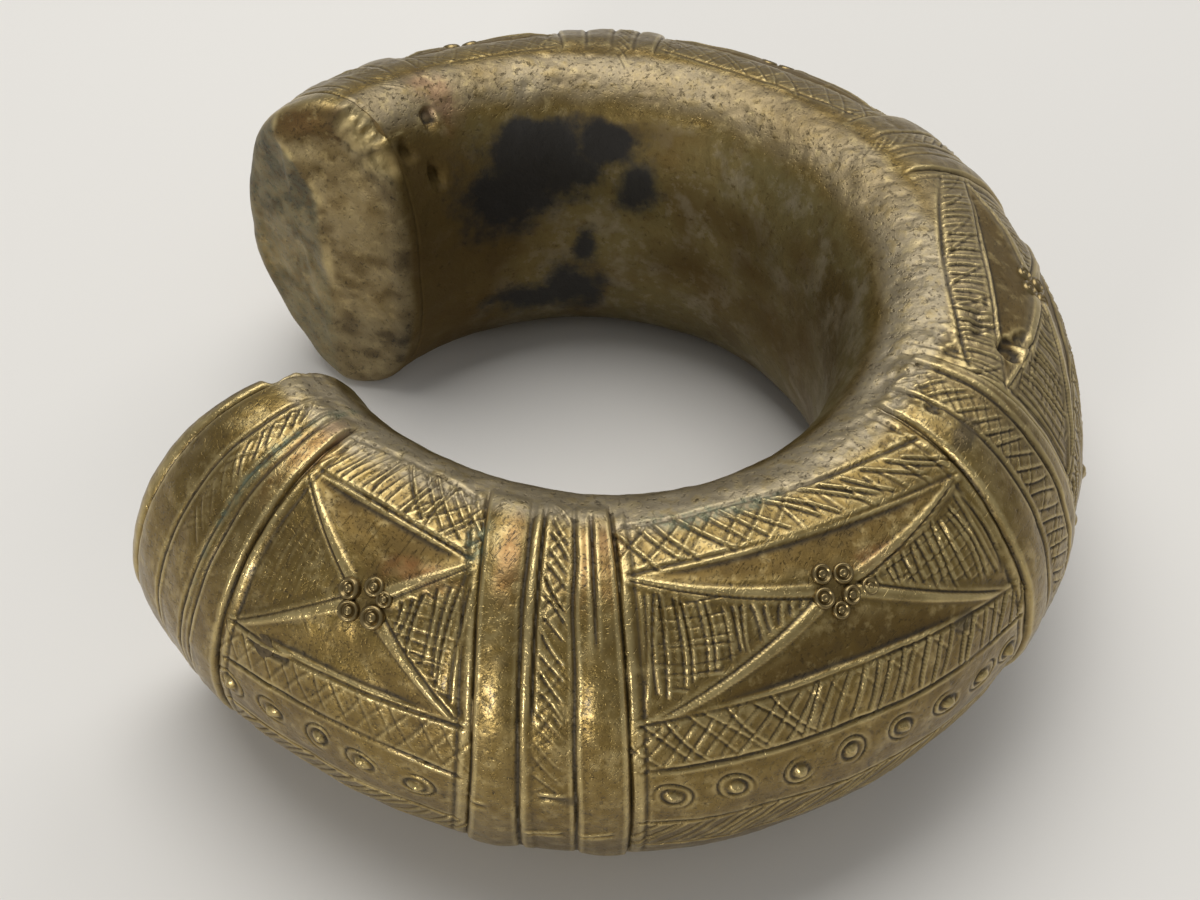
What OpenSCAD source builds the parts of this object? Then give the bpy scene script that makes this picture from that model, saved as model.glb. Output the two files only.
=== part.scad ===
// Open cast ring of brass, a manilla: a hollow casting with end plates, a clay core left inside,
// raised rib groups, line bands and rosettes on the outer face. It lies flat.
// The origin is the centre of the wrist opening, +Z is its axis and the gap faces -X.

/* [Ring] */
// Diameter of the wrist opening
wrist_d = 62; // [54:1:80]
// Mean radial width of the section
body_w = 31.4; // [29:0.2:38]
// Height between the two worn flats
ring_h = 48.5; // [44:0.5:60]
// Width of the worn flat on the upper and on the lower rim
land_w = 7; // [4:0.5:9]
// Radius of the rims towards the wrist
rim_r = 12.5; // [9:0.5:14]
// Radius of the crown between a flat and the outer face
crown_r = 15.5; // [11:0.5:17]
// Opening between the two ends, in degrees
gap_angle = 65; // [45:1:80]
// Lean of the far end's face, outwards round the ring, in degrees
far_lean = 13; // [0:1:18]
// Offset of the outer face from the wrist axis, away from the gap
drift_x = 1.9; // [0:0.1:3]
// Offset of the outer face from the wrist axis, across the gap
drift_y = -1.7; // [-3:0.1:3]

/* [Casting] */
// Thickness of the cast wall
wall = 4.5; // [3:0.5:6]
// Shrinkage gap between the clay and the metal
core_gap = 0.2; // [0.1:0.05:0.3]
// Thickness of an end plate
cap_t = 3; // [2:0.5:5]
// Length of the spigot that seats an end plate in the hollow
spigot_l = 4; // [2:0.5:6]
// Gap round a spigot
spigot_gap = 0.15; // [0.1:0.05:0.3]
// Diameter of an iron core pin
pin_d = 3; // [2:0.2:4]
// Gap round a core pin
pin_gap = 0.1; // [0.05:0.05:0.2]
// Depth of a core pin in the clay
pin_reach = 6; // [4:1:10]
// Place of each panel's pin, as a share of the panel's arc
pin_places = [0.22, 0.84, 0.8, 0.8, 0.8]; // [0.1:0.02:0.9]

/* [Ribs] */
// Arc of an end collar, in degrees
collar_arc = 20; // [14:1:24]
// Arc of a rib group, in degrees
rib_arc = 16.5; // [12:0.5:20]
// Height of a rib group and of an end plate's lip above the panels
rib_h = 0.8; // [0.4:0.1:1.2]
// Depth below the worn flats at which the ribs fade out
rib_fade = 0.3; // [0.2:0.1:0.6]
// Ribs in a group
rib_count = 3; // [2:1:4]
// Width of the grooves between the ribs, and between a collar and its end plate
rib_groove = 1; // [0.6:0.1:1.6]

/* [Bands] */
// Where the first line lies on the upper flat, inwards of the crown's centre
first_line = 1.2; // [0.5:0.1:2]
// Width of the upper hatched band, down the outer face
upper_band_w = 6.3; // [5:0.1:8]
// Width of the star panels, down the outer face
star_w = 16.1; // [13:0.1:18]
// Width of the lower hatched band
lower_band_w = 5.8; // [5:0.1:8]
// Width of the dotted band
dot_band_w = 8.8; // [6:0.1:10]
// Width of the rope band
rope_band_w = 6.2; // [5:0.1:8]
// Radius of the round-bottomed line between two bands
line_r = 0.4; // [0.2:0.05:0.6]

/* [Panels] */
// Share of each panel in the arc between the ribs, from the near end to the far end
panel_shares = [30, 46, 45.5, 39.5, 28]; // [20:0.5:60]
// Depth of the flats above and below a star's middle
star_flat = 0.4; // [0.2:0.05:0.6]
// Depth of the flats beside a star's middle
side_flat = 0.5; // [0.3:0.1:0.8]
// Width of the plain strip between a star and the ribs beside it
star_margin = 1.2; // [0.6:0.2:2]
// Place of the rosette in each panel, as a share of the panel's arc
rosette_place = 0.55; // [0.4:0.05:0.6]
// Diameter of a rosette's pellet
pellet_d = 3.2; // [2.4:0.2:3.6]
// Spacing of the pellets in a rosette
pellet_pitch = 3.6; // [3.4:0.1:4.6]
// Height of a pellet above its rosette's plate
pellet_h = 1; // [0.6:0.1:1.4]
// Thickness of a rosette's plate
plate_t = 1; // [0.9:0.1:1.5]
// Gap round a rosette's plate in its seat
seat_gap = 0.15; // [0.1:0.05:0.25]

/* [Hidden] */
$fn = 96;

brass = [0.56, 0.46, 0.27];
bright_brass = [0.66, 0.54, 0.31];
fired_clay = [0.55, 0.36, 0.27];
iron = [0.27, 0.28, 0.31];

// How far a cutter or an added form runs past the face that it works on
overlap = 1;

// Section of the ring, in whole microns. A flat cuts a little off the rim and crown circles.
function microns(size) = round(size * 1000) / 1000;
wrist_r = wrist_d / 2;
outer_r = wrist_r + body_w;
half_h = ring_h / 2;
land_cut = microns(pow(land_w / (sqrt(rim_r) + sqrt(crown_r)), 2) / 2);
full_half_h = half_h + land_cut;
rim_x = wrist_r + rim_r;
rim_z = full_half_h - rim_r;
crown_x = rim_x;
crown_z = full_half_h - crown_r;

// The arc of the side is a little tighter than one that would share a tangent with the crowns,
// so the side and the crowns meet in a soft edge.
side_tightness = 0.98;
face_w = outer_r - crown_x;
tangent_r = (pow(face_w, 2) + pow(crown_z, 2) - pow(crown_r, 2)) / (2 * (face_w - crown_r));
side_r = microns(side_tightness * tangent_r);
side_x = outer_r - side_r;
centre_gap = norm([crown_x - side_x, crown_z]);
join_turn = atan2(crown_x - side_x, crown_z);

// Angles from the vertical where the flat, the crown and the side follow each other, and the
// lengths along the section from the crown's centre line to those points.
flat_turn = acos((crown_r - land_cut) / crown_r);
crown_turn = join_turn
    - acos((pow(side_r, 2) - pow(centre_gap, 2) - pow(crown_r, 2)) / (2 * centre_gap * crown_r));
side_turn = join_turn
    - acos((pow(side_r, 2) + pow(centre_gap, 2) - pow(crown_r, 2)) / (2 * centre_gap * side_r));
flat_s = crown_r * sin(flat_turn);
crown_s = flat_s + crown_r * (crown_turn - flat_turn) * PI / 180;

// Point of the outer face at length s down the section, with its normal's angle from the vertical
function outer_at(s) =
    s <= flat_s ? [crown_x + s, half_h, 0]
    : s <= crown_s ?
        let (turn = flat_turn + (s - flat_s) / crown_r * 180 / PI)
        [crown_x + crown_r * sin(turn), crown_z + crown_r * cos(turn), turn]
    :
        let (turn = side_turn + (s - crown_s) / side_r * 180 / PI)
        [side_x + side_r * sin(turn), side_r * cos(turn), turn];

// Lines between the bands, as lengths down the section
star_top = upper_band_w - first_line;
star_mid = star_top + star_w / 2;
star_low = star_top + star_w;
dots_top = star_low + lower_band_w;
rope_top = dots_top + dot_band_w;
band_lines = [-first_line, star_top, star_low, dots_top, rope_top, rope_top + rope_band_w];
pin_s = star_low + lower_band_w / 2;

// Distance of a star's upper and lower flat from its middle, a third of the star's width
flat_shift = star_w / 3;

// Arcs round the ring, counted from the near end. Angles are taken about the outer face's centre.
near_end = 180 + gap_angle / 2;
panel_count = len(panel_shares);
panel_sum = panel_shares * [for (share = panel_shares) 1];
panels_arc = 360 - gap_angle - 2 * collar_arc - (panel_count - 1) * rib_arc;
function panel_arc(i) = panels_arc * panel_shares[i] / panel_sum;
function panel_start(i) = i == 0 ? collar_arc : panel_start(i - 1) + panel_arc(i - 1) + rib_arc;
function outer_turn(arc) =
    atan2(outer_r * sin(near_end + arc) - drift_y, outer_r * cos(near_end + arc) - drift_x);
function sweep(from, to) = (outer_turn(to) - outer_turn(from) + 720) % 360;
function panel_turn(i, share) =
    outer_turn(panel_start(i)) + share * sweep(panel_start(i), panel_start(i) + panel_arc(i));

// A rosette's square seat is deep enough for its flat bottom to be whole on the curved face
rosette_w = pellet_pitch + pellet_d;
seat_w = rosette_w + 2 * seat_gap;
seat_depth = pow(seat_w / 2, 2) * (1 / crown_r + 1 / crown_x) / 2 + seat_gap;
dome_r = (pow(pellet_d / 2, 2) + pow(pellet_h, 2)) / (2 * pellet_h);

// Half plane section of the outer form as a filled disc, grown outwards by grow
module outer_profile(grow) {
    half_flat = half_h + min(grow, 0);
    join_z = (side_r + grow) * cos(join_turn);
    width = outer_r + grow + overlap;
    tall = full_half_h + overlap;
    intersection() {
        union() {
            translate([side_x, 0])
                circle(side_r + grow);
            translate([0, -tall])
                square([crown_x, 2 * tall]);
        }
        union() {
            for (end = [-1, 1])
                translate([crown_x, end * crown_z])
                    circle(crown_r + grow);
            translate([0, -join_z])
                square([width, 2 * join_z]);
            translate([0, -tall])
                square([crown_x, 2 * tall]);
        }
        translate([0, -half_flat])
            square([width, 2 * half_flat]);
    }
}

// Half plane section of the wrist opening with its round rims, grown into the metal by grow
module wrist_profile(grow) {
    tall = full_half_h + overlap;
    difference() {
        translate([0, -tall])
            square([rim_x, 2 * tall]);
        for (end = [-1, 1])
            translate([rim_x, end * rim_z])
                circle(rim_r - grow);
        translate([wrist_r + grow, -rim_z])
            square([rim_r, 2 * rim_z]);
    }
}

// Places its children on the outer face: +Z outwards, +X down the face, +Y round the ring
module on_face(turn, s) {
    place = outer_at(s);
    translate([drift_x, drift_y, 0])
        rotate([0, 0, turn])
            translate([place[0], 0, place[1]])
                rotate([0, place[2], 0])
                    children();
}

// Whole ring without a gap, its outer face grown by outside and its wrist side pulled in by inside
module closed_ring(outside, inside) {
    difference() {
        translate([drift_x, drift_y, 0])
            rotate_extrude()
                outer_profile(outside);
        rotate_extrude()
            wrist_profile(inside);
    }
}

// Direction of an end's face: 1 for the far end, which leans, and -1 for the near end
function end_turn(side) = 180 - side * gap_angle / 2;
function end_lean(side) = side > 0 ? far_lean : 0;
function end_point(side, along) =
    let (lean = end_turn(side) + end_lean(side))
    rim_x * [cos(end_turn(side)), sin(end_turn(side))] + along * [cos(lean), sin(lean)];

module gap_wedge() {
    reach = 2 * outer_r;
    linear_extrude(height = 2 * ring_h, center = true)
        polygon([end_point(1, -rim_x), end_point(1, reach), end_point(-1, reach), end_point(-1, -rim_x)]);
}

// Block behind an end's face, from one depth to another
module end_block(side, from, to) {
    rotate([0, 0, end_turn(side)])
        translate([rim_x, 0, 0])
            rotate([0, 0, end_lean(side)])
                translate([-rim_x, side > 0 ? -to : from, -ring_h])
                    cube([2 * outer_r, to - from, 2 * ring_h]);
}

// Everything in the gap and behind both end faces down to a depth
module ends(depth) {
    gap_wedge();
    for (side = [-1, 1])
        end_block(side, -overlap, depth);
}

// Raised band over the whole outer face, from one arc to another
module rib(from, to) {
    translate([drift_x, drift_y, 0])
        rotate([0, 0, outer_turn(from)])
            rotate_extrude(angle = sweep(from, to))
                difference() {
                    intersection() {
                        outer_profile(rib_h);
                        translate([crown_x, rib_fade - half_h])
                            square([outer_r, ring_h - 2 * rib_fade]);
                    }
                    outer_profile(-overlap);
                }
}

// Ribs side by side, with grooves between them
module rib_group(from, to) {
    groove = rib_groove / outer_r * 180 / PI;
    pitch = (to - from + groove) / rib_count;
    for (k = [0 : rib_count - 1])
        rib(from + k * pitch, from + (k + 1) * pitch - groove);
}

// The collars leave the last stretch at each end to the end plates
module rib_groups() {
    ring_arc = 360 - gap_angle;
    plate_arc = (cap_t + rib_groove) / rim_x * 180 / PI;
    rib_group(plate_arc, collar_arc);
    rib_group(ring_arc - collar_arc, ring_arc - plate_arc);
    for (i = [0 : panel_count - 2])
        rib_group(panel_start(i) + panel_arc(i), panel_start(i + 1));
}

// Pins of all the panels, thicker by gap and longer into the clay by deeper
module pins(gap, deeper) {
    length = wall + pin_reach + deeper + overlap;
    for (i = [0 : panel_count - 1])
        on_face(panel_turn(i, pin_places[i]), pin_s)
            translate([0, 0, overlap - length])
                cylinder(d = pin_d + 2 * gap, h = length);
}

module square_plate(side, thick) {
    translate([-side / 2, -side / 2, 0])
        cube([side, side, thick]);
}

// Places its children on the bottom of a rosette's seat
module in_seat(i) {
    on_face(panel_turn(i, rosette_place), star_mid)
        translate([0, 0, -seat_depth])
            children();
}

// One flat of a star, cut to a depth under the face, at most reach long to each side
module star_flat_cut(i, share, s, depth, reach) {
    on_face(panel_turn(i, share), s)
        translate([-star_w / 2, -reach, -depth])
            cube([star_w, 2 * reach, depth + overlap]);
}

// Flats round a rosette: above, below and halfway to the ribs. The rays stand between them.
module star_flats(i) {
    panel_l = panel_arc(i) * PI / 180 * outer_at(star_mid)[0];
    for (down = [-flat_shift, flat_shift])
        star_flat_cut(i, rosette_place, star_mid + down, star_flat, star_w / 2);
    for (edge = [0, 1]) {
        half_way = abs(edge - rosette_place) / 2;
        star_flat_cut(i, (edge + rosette_place) / 2, star_mid, side_flat, half_way * panel_l - star_margin);
    }
}

module cast_body() {
    color(brass)
        difference() {
            union() {
                translate([drift_x, drift_y, 0])
                    rotate_extrude()
                        difference() {
                            outer_profile(0);
                            for (s = band_lines)
                                translate([outer_at(s)[0], outer_at(s)[1]])
                                    circle(line_r);
                        }
                rib_groups();
            }
            rotate_extrude()
                wrist_profile(0);
            closed_ring(-wall, wall);
            ends(cap_t);
            pins(pin_gap, 0);
            for (i = [0 : panel_count - 1]) {
                star_flats(i);
                in_seat(i)
                    square_plate(seat_w, seat_depth + overlap);
            }
        }
}

// End plate with a raised lip and the spigot that seats it in the hollow
module end_plate(side) {
    color(bright_brass)
        union() {
            intersection() {
                closed_ring(rib_h, 0);
                end_block(side, 0, cap_t);
            }
            intersection() {
                closed_ring(-wall - spigot_gap, wall + spigot_gap);
                end_block(side, cap_t - overlap, cap_t + spigot_l);
            }
        }
}

module near_end_cap() { end_plate(-1); }
module far_end_cap() { end_plate(1); }

module clay_core() {
    color(fired_clay)
        difference() {
            closed_ring(-wall - core_gap, wall + core_gap);
            ends(cap_t + spigot_l + core_gap);
            pins(pin_gap, core_gap);
        }
}

// Pins cut off flush with the outer face
module core_pins() {
    color(iron)
        intersection() {
            pins(0, 0);
            translate([drift_x, drift_y, 0])
                rotate_extrude()
                    outer_profile(0);
        }
}

// Square plate with four domed pellets
module rosette(i) {
    color(bright_brass)
        in_seat(i) {
            square_plate(rosette_w, plate_t);
            for (x = [-1, 1])
                for (y = [-1, 1])
                    translate([x * pellet_pitch / 2, y * pellet_pitch / 2, 0])
                        intersection() {
                            cylinder(d = pellet_d, h = plate_t + pellet_h);
                            translate([0, 0, plate_t + pellet_h - dome_r])
                                sphere(dome_r);
                        }
        }
}

module rosette_1() { rosette(0); }
module rosette_2() { rosette(1); }
module rosette_3() { rosette(2); }
module rosette_4() { rosette(3); }
module rosette_5() { rosette(4); }

cast_body();
near_end_cap();
far_end_cap();
clay_core();
core_pins();
rosette_1();
rosette_2();
rosette_3();
rosette_4();
rosette_5();
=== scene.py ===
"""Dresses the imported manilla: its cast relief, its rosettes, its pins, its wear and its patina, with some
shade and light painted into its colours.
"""

import math

import bpy
import numpy as np
from bpy.props import FloatProperty, FloatVectorProperty, IntProperty, PointerProperty
from mathutils import Matrix, Vector


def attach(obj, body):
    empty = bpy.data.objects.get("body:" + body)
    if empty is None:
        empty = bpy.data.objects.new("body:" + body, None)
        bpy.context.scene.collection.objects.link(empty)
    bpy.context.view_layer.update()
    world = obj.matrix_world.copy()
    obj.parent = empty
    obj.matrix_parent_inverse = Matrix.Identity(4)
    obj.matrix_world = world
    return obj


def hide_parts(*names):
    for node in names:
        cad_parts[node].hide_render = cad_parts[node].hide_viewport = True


bl_info = {
    "name": "Manilla",
    "version": (1, 0, 0),
    "blender": (4, 5, 0),
    "location": "View3D > Sidebar > Manilla",
    "description": "Builds the chased brass ring on its packed frame",
    "category": "Object",
}

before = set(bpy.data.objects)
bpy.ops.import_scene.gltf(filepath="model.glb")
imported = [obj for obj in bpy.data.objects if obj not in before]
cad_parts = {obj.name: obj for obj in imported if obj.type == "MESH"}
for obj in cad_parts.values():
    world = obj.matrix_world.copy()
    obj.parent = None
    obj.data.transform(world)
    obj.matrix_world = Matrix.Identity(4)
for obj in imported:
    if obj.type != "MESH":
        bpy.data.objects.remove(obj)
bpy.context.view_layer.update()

MM = 0.001
RADIAN = math.pi / 180


def srgb(red, green, blue):
    """Linear colour of a colour that is written as it is seen."""

    def linear(part):
        part /= 255
        return part / 12.92 if part <= 0.04045 else ((part + 0.055) / 1.055) ** 2.4

    return linear(red), linear(green), linear(blue)


def length(name, description, millimetres):
    """A length that a user may change."""
    return FloatProperty(
        name=name,
        description=description,
        default=millimetres * MM,
        min=0,
        precision=5,
        subtype="DISTANCE",
        unit="LENGTH",
    )


def lengths(name, description, millimetres):
    """One length for each station round the ring."""
    return FloatVectorProperty(
        name=name,
        description=description,
        default=[value * MM for value in millimetres],
        size=len(millimetres),
        precision=5,
        unit="LENGTH",
    )


def colour(name, description, red, green, blue):
    """A colour that a user may change."""
    return FloatVectorProperty(
        name=name,
        description=description,
        default=srgb(red, green, blue),
        size=3,
        min=0,
        max=1,
        subtype="COLOR",
    )


class RingShape(bpy.types.PropertyGroup):
    """Shape of the bare ring."""

    stations: FloatVectorProperty(
        name="Stations",
        description="Places of the stations, in degrees from the near end",
        size=8,
        default=(0, 35, 75, 120, 165, 210, 255, 295),
    )
    wrist_radii: lengths(
        "Wrist radii",
        "Radius of the wrist opening at each station",
        (29.6, 29.4, 31.2, 31.6, 30.8, 30.8, 31.3, 31.8),
    )
    widths: lengths(
        "Widths",
        "Radial width of the section at each station",
        (32.5, 34.0, 34.4, 33.8, 32.8, 31.5, 29.6, 27.0),
    )
    heights: lengths(
        "Heights",
        "Height of the section at each station",
        (47.1, 48.4, 48.3, 48.8, 48.7, 47.1, 47.3, 50.5),
    )
    wrist_share: FloatProperty(
        name="Wrist side",
        description="Share of the width between the wrist and the crown",
        default=0.397,
        min=0.2,
        max=0.6,
        subtype="FACTOR",
    )
    wrist_fullness: FloatProperty(
        name="Wrist fullness",
        description="How square the wrist side of the section is, 2 being round",
        default=2.43,
    )
    face_fullness: FloatProperty(
        name="Face fullness",
        description="How square the outer side of the section is, 2 being round",
        default=1.91,
    )
    far_lean: FloatProperty(
        name="Far lean",
        description="How far the far end's face leans outwards, for a length of 30 mm",
        default=0.119,
        subtype="ANGLE",
        unit="ROTATION",
    )
    wall: length("Wall", "Thickness of the cast wall as drawn here", 2.4)
    column: FloatProperty(
        name="Column",
        description="Spacing of the mesh round the ring, in degrees",
        default=0.192,
        min=0.1,
    )


class ReliefSizes(bpy.types.PropertyGroup):
    """Heights and depths of what is cast and chased on the ring."""

    rib: length("Rib", "Height of the rib groups above the panels", 0.42)
    groove: length("Groove", "Depth of the grooves between the ribs", 0.46)
    line: length("Line", "Depth of the lines between the bands", 0.3)
    stroke: length("Stroke", "Depth of a chased stroke", 0.2)
    stroke_width: length("Stroke width", "Half width of a chased stroke", 0.155)
    hollow: length("Hollow", "Depth of the plain hollows of a star", 0.5)
    sunk: length("Sunk ground", "Depth of the hatched ground of a star", 0.3)
    ray: length("Ray", "Height of a star's rays", 0.22)
    dot: length("Dot", "Height of a ring dot's boss", 0.5)
    dent: length("Dents", "Depth of the unevenness of the casting", 0.26)
    pellet: length("Pellet", "Diameter of a rosette's pellet", 2.7)
    pitch: length("Pellet pitch", "Spacing of a rosette's pellets", 2.9)
    pin: length("Pin", "Diameter of a core pin", 3)
    seed: IntProperty(
        name="Hand", description="Number of the hand that chases the strokes", default=7
    )


class Finishes(bpy.types.PropertyGroup):
    """Colours of the finishes."""

    brass: colour("Brass", "Aged brass of the outer face", 136, 113, 57)
    worn: colour("Worn brass", "Brass rubbed bright on crests and edges", 204, 182, 126)
    brown: colour("Brown patina", "Brown patina in the hollows of the stars", 99, 79, 41)
    # This dark colour is the patina and grit of grooves and pits, and also painted shade in broad recesses,
    # round the rosettes, at the pellets' feet and on the far end's shadowed facet
    dirt_and_shade: colour("Dirt", "Dark patina in the grooves", 38, 31, 20)
    # This grey is grey metal made lighter: painted reflection of the light from behind on the rim
    grey: colour("Grey metal", "Greyish metal of the upper rim", 152, 140, 116)
    # The wrist side's olive is partly darker than the face as painted shade of the inside of the ring
    wrist: colour("Wrist brass", "Olive brass of the wrist side", 118, 106, 68)
    copper: colour("Copper", "Reddish blush of copper", 138, 84, 52)
    verdigris: colour("Verdigris", "Green corrosion", 92, 104, 84)
    black_patch: colour("Stain", "Black stain on the wrist side", 20, 18, 17)
    clay: colour("Clay", "Fired clay of the core", 140, 92, 68)
    iron: colour("Iron", "Dark iron of the core pins", 84, 72, 50)
    floor: colour("Floor", "Pale floor", 222, 218, 211)


class Manilla(bpy.types.PropertyGroup):
    """All the settings of the part."""

    ring: PointerProperty(type=RingShape)
    relief: PointerProperty(type=ReliefSizes)
    finish: PointerProperty(type=Finishes)


# The ring's bare surface, in degrees and mm

FULL_ARC = 295.0
NEAR_ANGLE = 212.5
REST_PLANE = -24.25
MEAN_HEIGHT = 48.5
MEAN_WIDTH = 33.2
MEAN_WRIST = 31.0
FACE_RADIUS = 56
NEAR_SEAM = 3.2
FAR_SEAM = 291.8


def settings():
    """The part's settings in this file."""
    return bpy.context.scene.manilla


def smooth(low, high, value):
    """0 below low, 1 above high and an even rise between."""
    t = np.clip((value - low) / (high - low), 0, 1)
    return t * t * (3 - 2 * t)


def bell(distance, width):
    """1 in the middle, falling off to both sides within about twice the width."""
    return np.exp(-np.square(distance / width))


def along(stations, values, at):
    """Smooth curve through the values at the stations."""
    slopes = np.gradient(values, stations)
    i = np.clip(np.searchsorted(stations, at, side="right") - 1, 0, len(stations) - 2)
    span = stations[i + 1] - stations[i]
    t = np.clip((at - stations[i]) / span, 0, 1)
    rise = t * t * (3 - 2 * t)
    bend = t * (1 - t) * span * ((1 - t) * slopes[i] - t * slopes[i + 1])
    return values[i] * (1 - rise) + values[i + 1] * rise + bend


class Ring:
    """The bare ring: places on it by arc, in degrees from the near end, and by the length s.

    s runs down the section from the crown's top line, in mm: outwards above 0, to the wrist below.
    """

    def __init__(self, shape):
        self.stations = np.array(shape.stations)
        self.radii = np.array(shape.wrist_radii) / MM
        self.widths = np.array(shape.widths) / MM
        self.heights = np.array(shape.heights) / MM
        self.lean = shape.far_lean
        self.inner = MEAN_WIDTH * shape.wrist_share
        self.outer = MEAN_WIDTH - self.inner
        turn = np.linspace(0, math.pi, 4001)
        self.face = self.half(turn, self.outer, shape.face_fullness)
        self.wrist = self.half(turn, -self.inner, shape.wrist_fullness)
        self.face_s = self.lengths_of(self.face)
        self.wrist_s = self.lengths_of(self.wrist)
        self.face_length = self.face_s[-1]
        self.wrist_length = self.wrist_s[-1]

    @staticmethod
    def half(turn, reach, fullness):
        """Half of the section, from its top to its bottom."""
        x = reach * np.abs(np.sin(turn)) ** (2 / fullness)
        flat = np.abs(np.cos(turn)) ** (2 / fullness)
        return x, MEAN_HEIGHT / 2 * (1 + np.sign(np.cos(turn)) * flat)

    @staticmethod
    def lengths_of(half):
        """Length along half of the section up to each of its points."""
        steps = np.hypot(np.diff(half[0]), np.diff(half[1]))
        return np.concatenate([[0], np.cumsum(steps)])

    def section(self, s):
        """Offset from the crown's line and height above the rest plane at s."""
        out = np.interp(s, self.face_s, self.face[0]), np.interp(s, self.face_s, self.face[1])
        back = np.interp(-s, self.wrist_s, self.wrist[0]), np.interp(-s, self.wrist_s, self.wrist[1])
        return np.where(s >= 0, out[0], back[0]), np.where(s >= 0, out[1], back[1])

    def at(self, arc, s):
        """Points of the bare surface, in mm."""
        x, z = self.section(s)
        width = along(self.stations, self.widths, arc) / MEAN_WIDTH
        height = along(self.stations, self.heights, arc) / MEAN_HEIGHT
        radius = along(self.stations, self.radii, arc) + (x + self.inner) * width
        late = np.clip(2 * arc / FULL_ARC - 1, 0, None) ** 6
        angle = (NEAR_ANGLE + arc) * RADIAN + self.lean * late * x / 30
        return np.stack([radius * np.cos(angle), radius * np.sin(angle), REST_PLANE + z * height], -1)

    def normal(self, arc, s):
        """Outward unit normals of the bare surface."""
        da, ds = 0.2, 0.1
        round_ring = self.at(arc + da, s) - self.at(arc - da, s)
        down = self.at(arc, s + ds) - self.at(arc, s - ds)
        n = np.cross(down, round_ring)
        return n / np.linalg.norm(n, axis=-1, keepdims=True)

    def radius(self, s):
        """Mean distance of s from the ring's axis."""
        return MEAN_WRIST + self.section(s)[0] + self.inner

    def frame_at(self, arc, s):
        """Matrix whose x runs round the ring, y up the face and z outwards at a place."""
        arc, s = np.float64(arc), np.float64(s)
        n = self.normal(arc, s)
        x = self.at(arc + 0.2, s) - self.at(arc - 0.2, s)
        x = x - n * np.dot(x, n)
        x = x / np.linalg.norm(x)
        place = self.at(arc, s) * MM
        axes = Matrix((x, np.cross(n, x), n)).transposed().to_4x4()
        return Matrix.Translation(place) @ axes


def spread(points, cell, seed):
    """Soft random values from -1 to 1 in space, about one change for each cell."""
    table = np.random.default_rng(seed).random((32, 32, 32)) * 2 - 1
    place = points / cell + 1000
    low = np.floor(place).astype(int)
    t = place - low
    t = t * t * (3 - 2 * t)
    value = 0
    for corner in range(8):
        step = np.array([corner & 1, corner >> 1 & 1, corner >> 2])
        weight = np.prod(np.where(step, t, 1 - t), axis=-1)
        i = (low + step) % 32
        value = value + weight * table[i[..., 0], i[..., 1], i[..., 2]]
    return value


class Meridian:
    """A line across the ring's face. Its arc is given at the crown, on the star and low down."""

    def __init__(self, crown, star, low):
        self.curve = np.polyfit((-3, 14, 42), (crown, star, low), 2)
        self.mean = (crown + star + low) / 3

    def at(self, s):
        """Arc of the line at s. It runs straight on the wrist side and under the ring."""
        bent = np.polyval(self.curve, np.clip(s, -6, 46)) - self.mean
        return self.mean + bent * smooth(-18, -8, s) * (1 - smooth(46, 60, s))


def straight(arc):
    """A line that keeps to one arc."""
    return Meridian(arc, arc, arc)


class Panel:
    """One panel of the outer face.

    lines: the six lines between its bands, each by s at the panel's start, middle and end
    rosette: arc and s of the star's middle
    grid: strength of the strokes on the star's two side grounds
    upper, lower: the strokes of the two hatched bands, in families. A family is the spacing in mm,
        the slant, the strength, the reach across the band and the reach along it
    dots, pellets: arcs of the ring dots, and arc, s and size of the pellets, where the photograph
        shows them
    patina: how brown the star's upper and lower hollows are; a hollow kept less brown is lighter, partly as
    painted light where light falls on it
    """

    def __init__(self, start, end, lines, rosette, grid, upper, lower, dots=(), pellets=(), patina=(1, 1)):
        self.start, self.end = start, end
        self.lines = lines
        self.rosette = rosette
        self.grid = grid
        self.upper, self.lower = upper, lower
        self.dots, self.pellets = dots, pellets
        self.patina = patina

    def line(self, number, share):
        """s of a line at a share of the panel's arc."""
        curve = np.polyfit((0, 0.5, 1), self.lines[number], 2)
        return np.polyval(curve, np.clip(share, 0, 1))


# Where the ribs and the panels lie: read from the photograph in front, in its pattern behind

EDGES = {
    "near_plate": straight(NEAR_SEAM),
    "panel_1": Meridian(20.2, 20.8, 19.4),
    "ribs_1": Meridian(47.4, 50.7, 50.6),
    "panel_2": Meridian(66.3, 66.9, 67.4),
    "ribs_2": Meridian(115.4, 114.7, 116.6),
    "panel_3": Meridian(129.4, 129.2, 128.6),
    "ribs_3": Meridian(174.4, 174.2, 174.2),
    "panel_4": Meridian(191.2, 191, 191),
    "ribs_4": Meridian(230.7, 230.7, 230.7),
    "panel_5": Meridian(247.4, 247.4, 247.4),
    "far_collar": Meridian(274.7, 274.7, 274.7),
    "far_plate": straight(FAR_SEAM),
}
# Stretches of the casting: name, first edge and last edge
EDGE_NAMES = tuple(EDGES)
PIECES = tuple(
    ("near_collar" if start == "near_plate" else start, start, end)
    for start, end in zip(EDGE_NAMES, EDGE_NAMES[1:])
)
# Grooves inside the collars and the rib groups
GROOVES = (
    Meridian(9.8, 9.3, 8.8),
    Meridian(14.6, 14.9, 12.6),
    Meridian(16.4, 16.6, 14.6),
    Meridian(54.4, 55.7, 56.2),
    Meridian(60.7, 61.4, 62.0),
    Meridian(120.0, 120.2, 119.2),
    Meridian(126.8, 126.4, 124.9),
    *map(straight, (178.5, 180.8, 185.1, 234.5, 238.4, 242.8, 279.6, 285.5, 289.2)),
)
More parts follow.
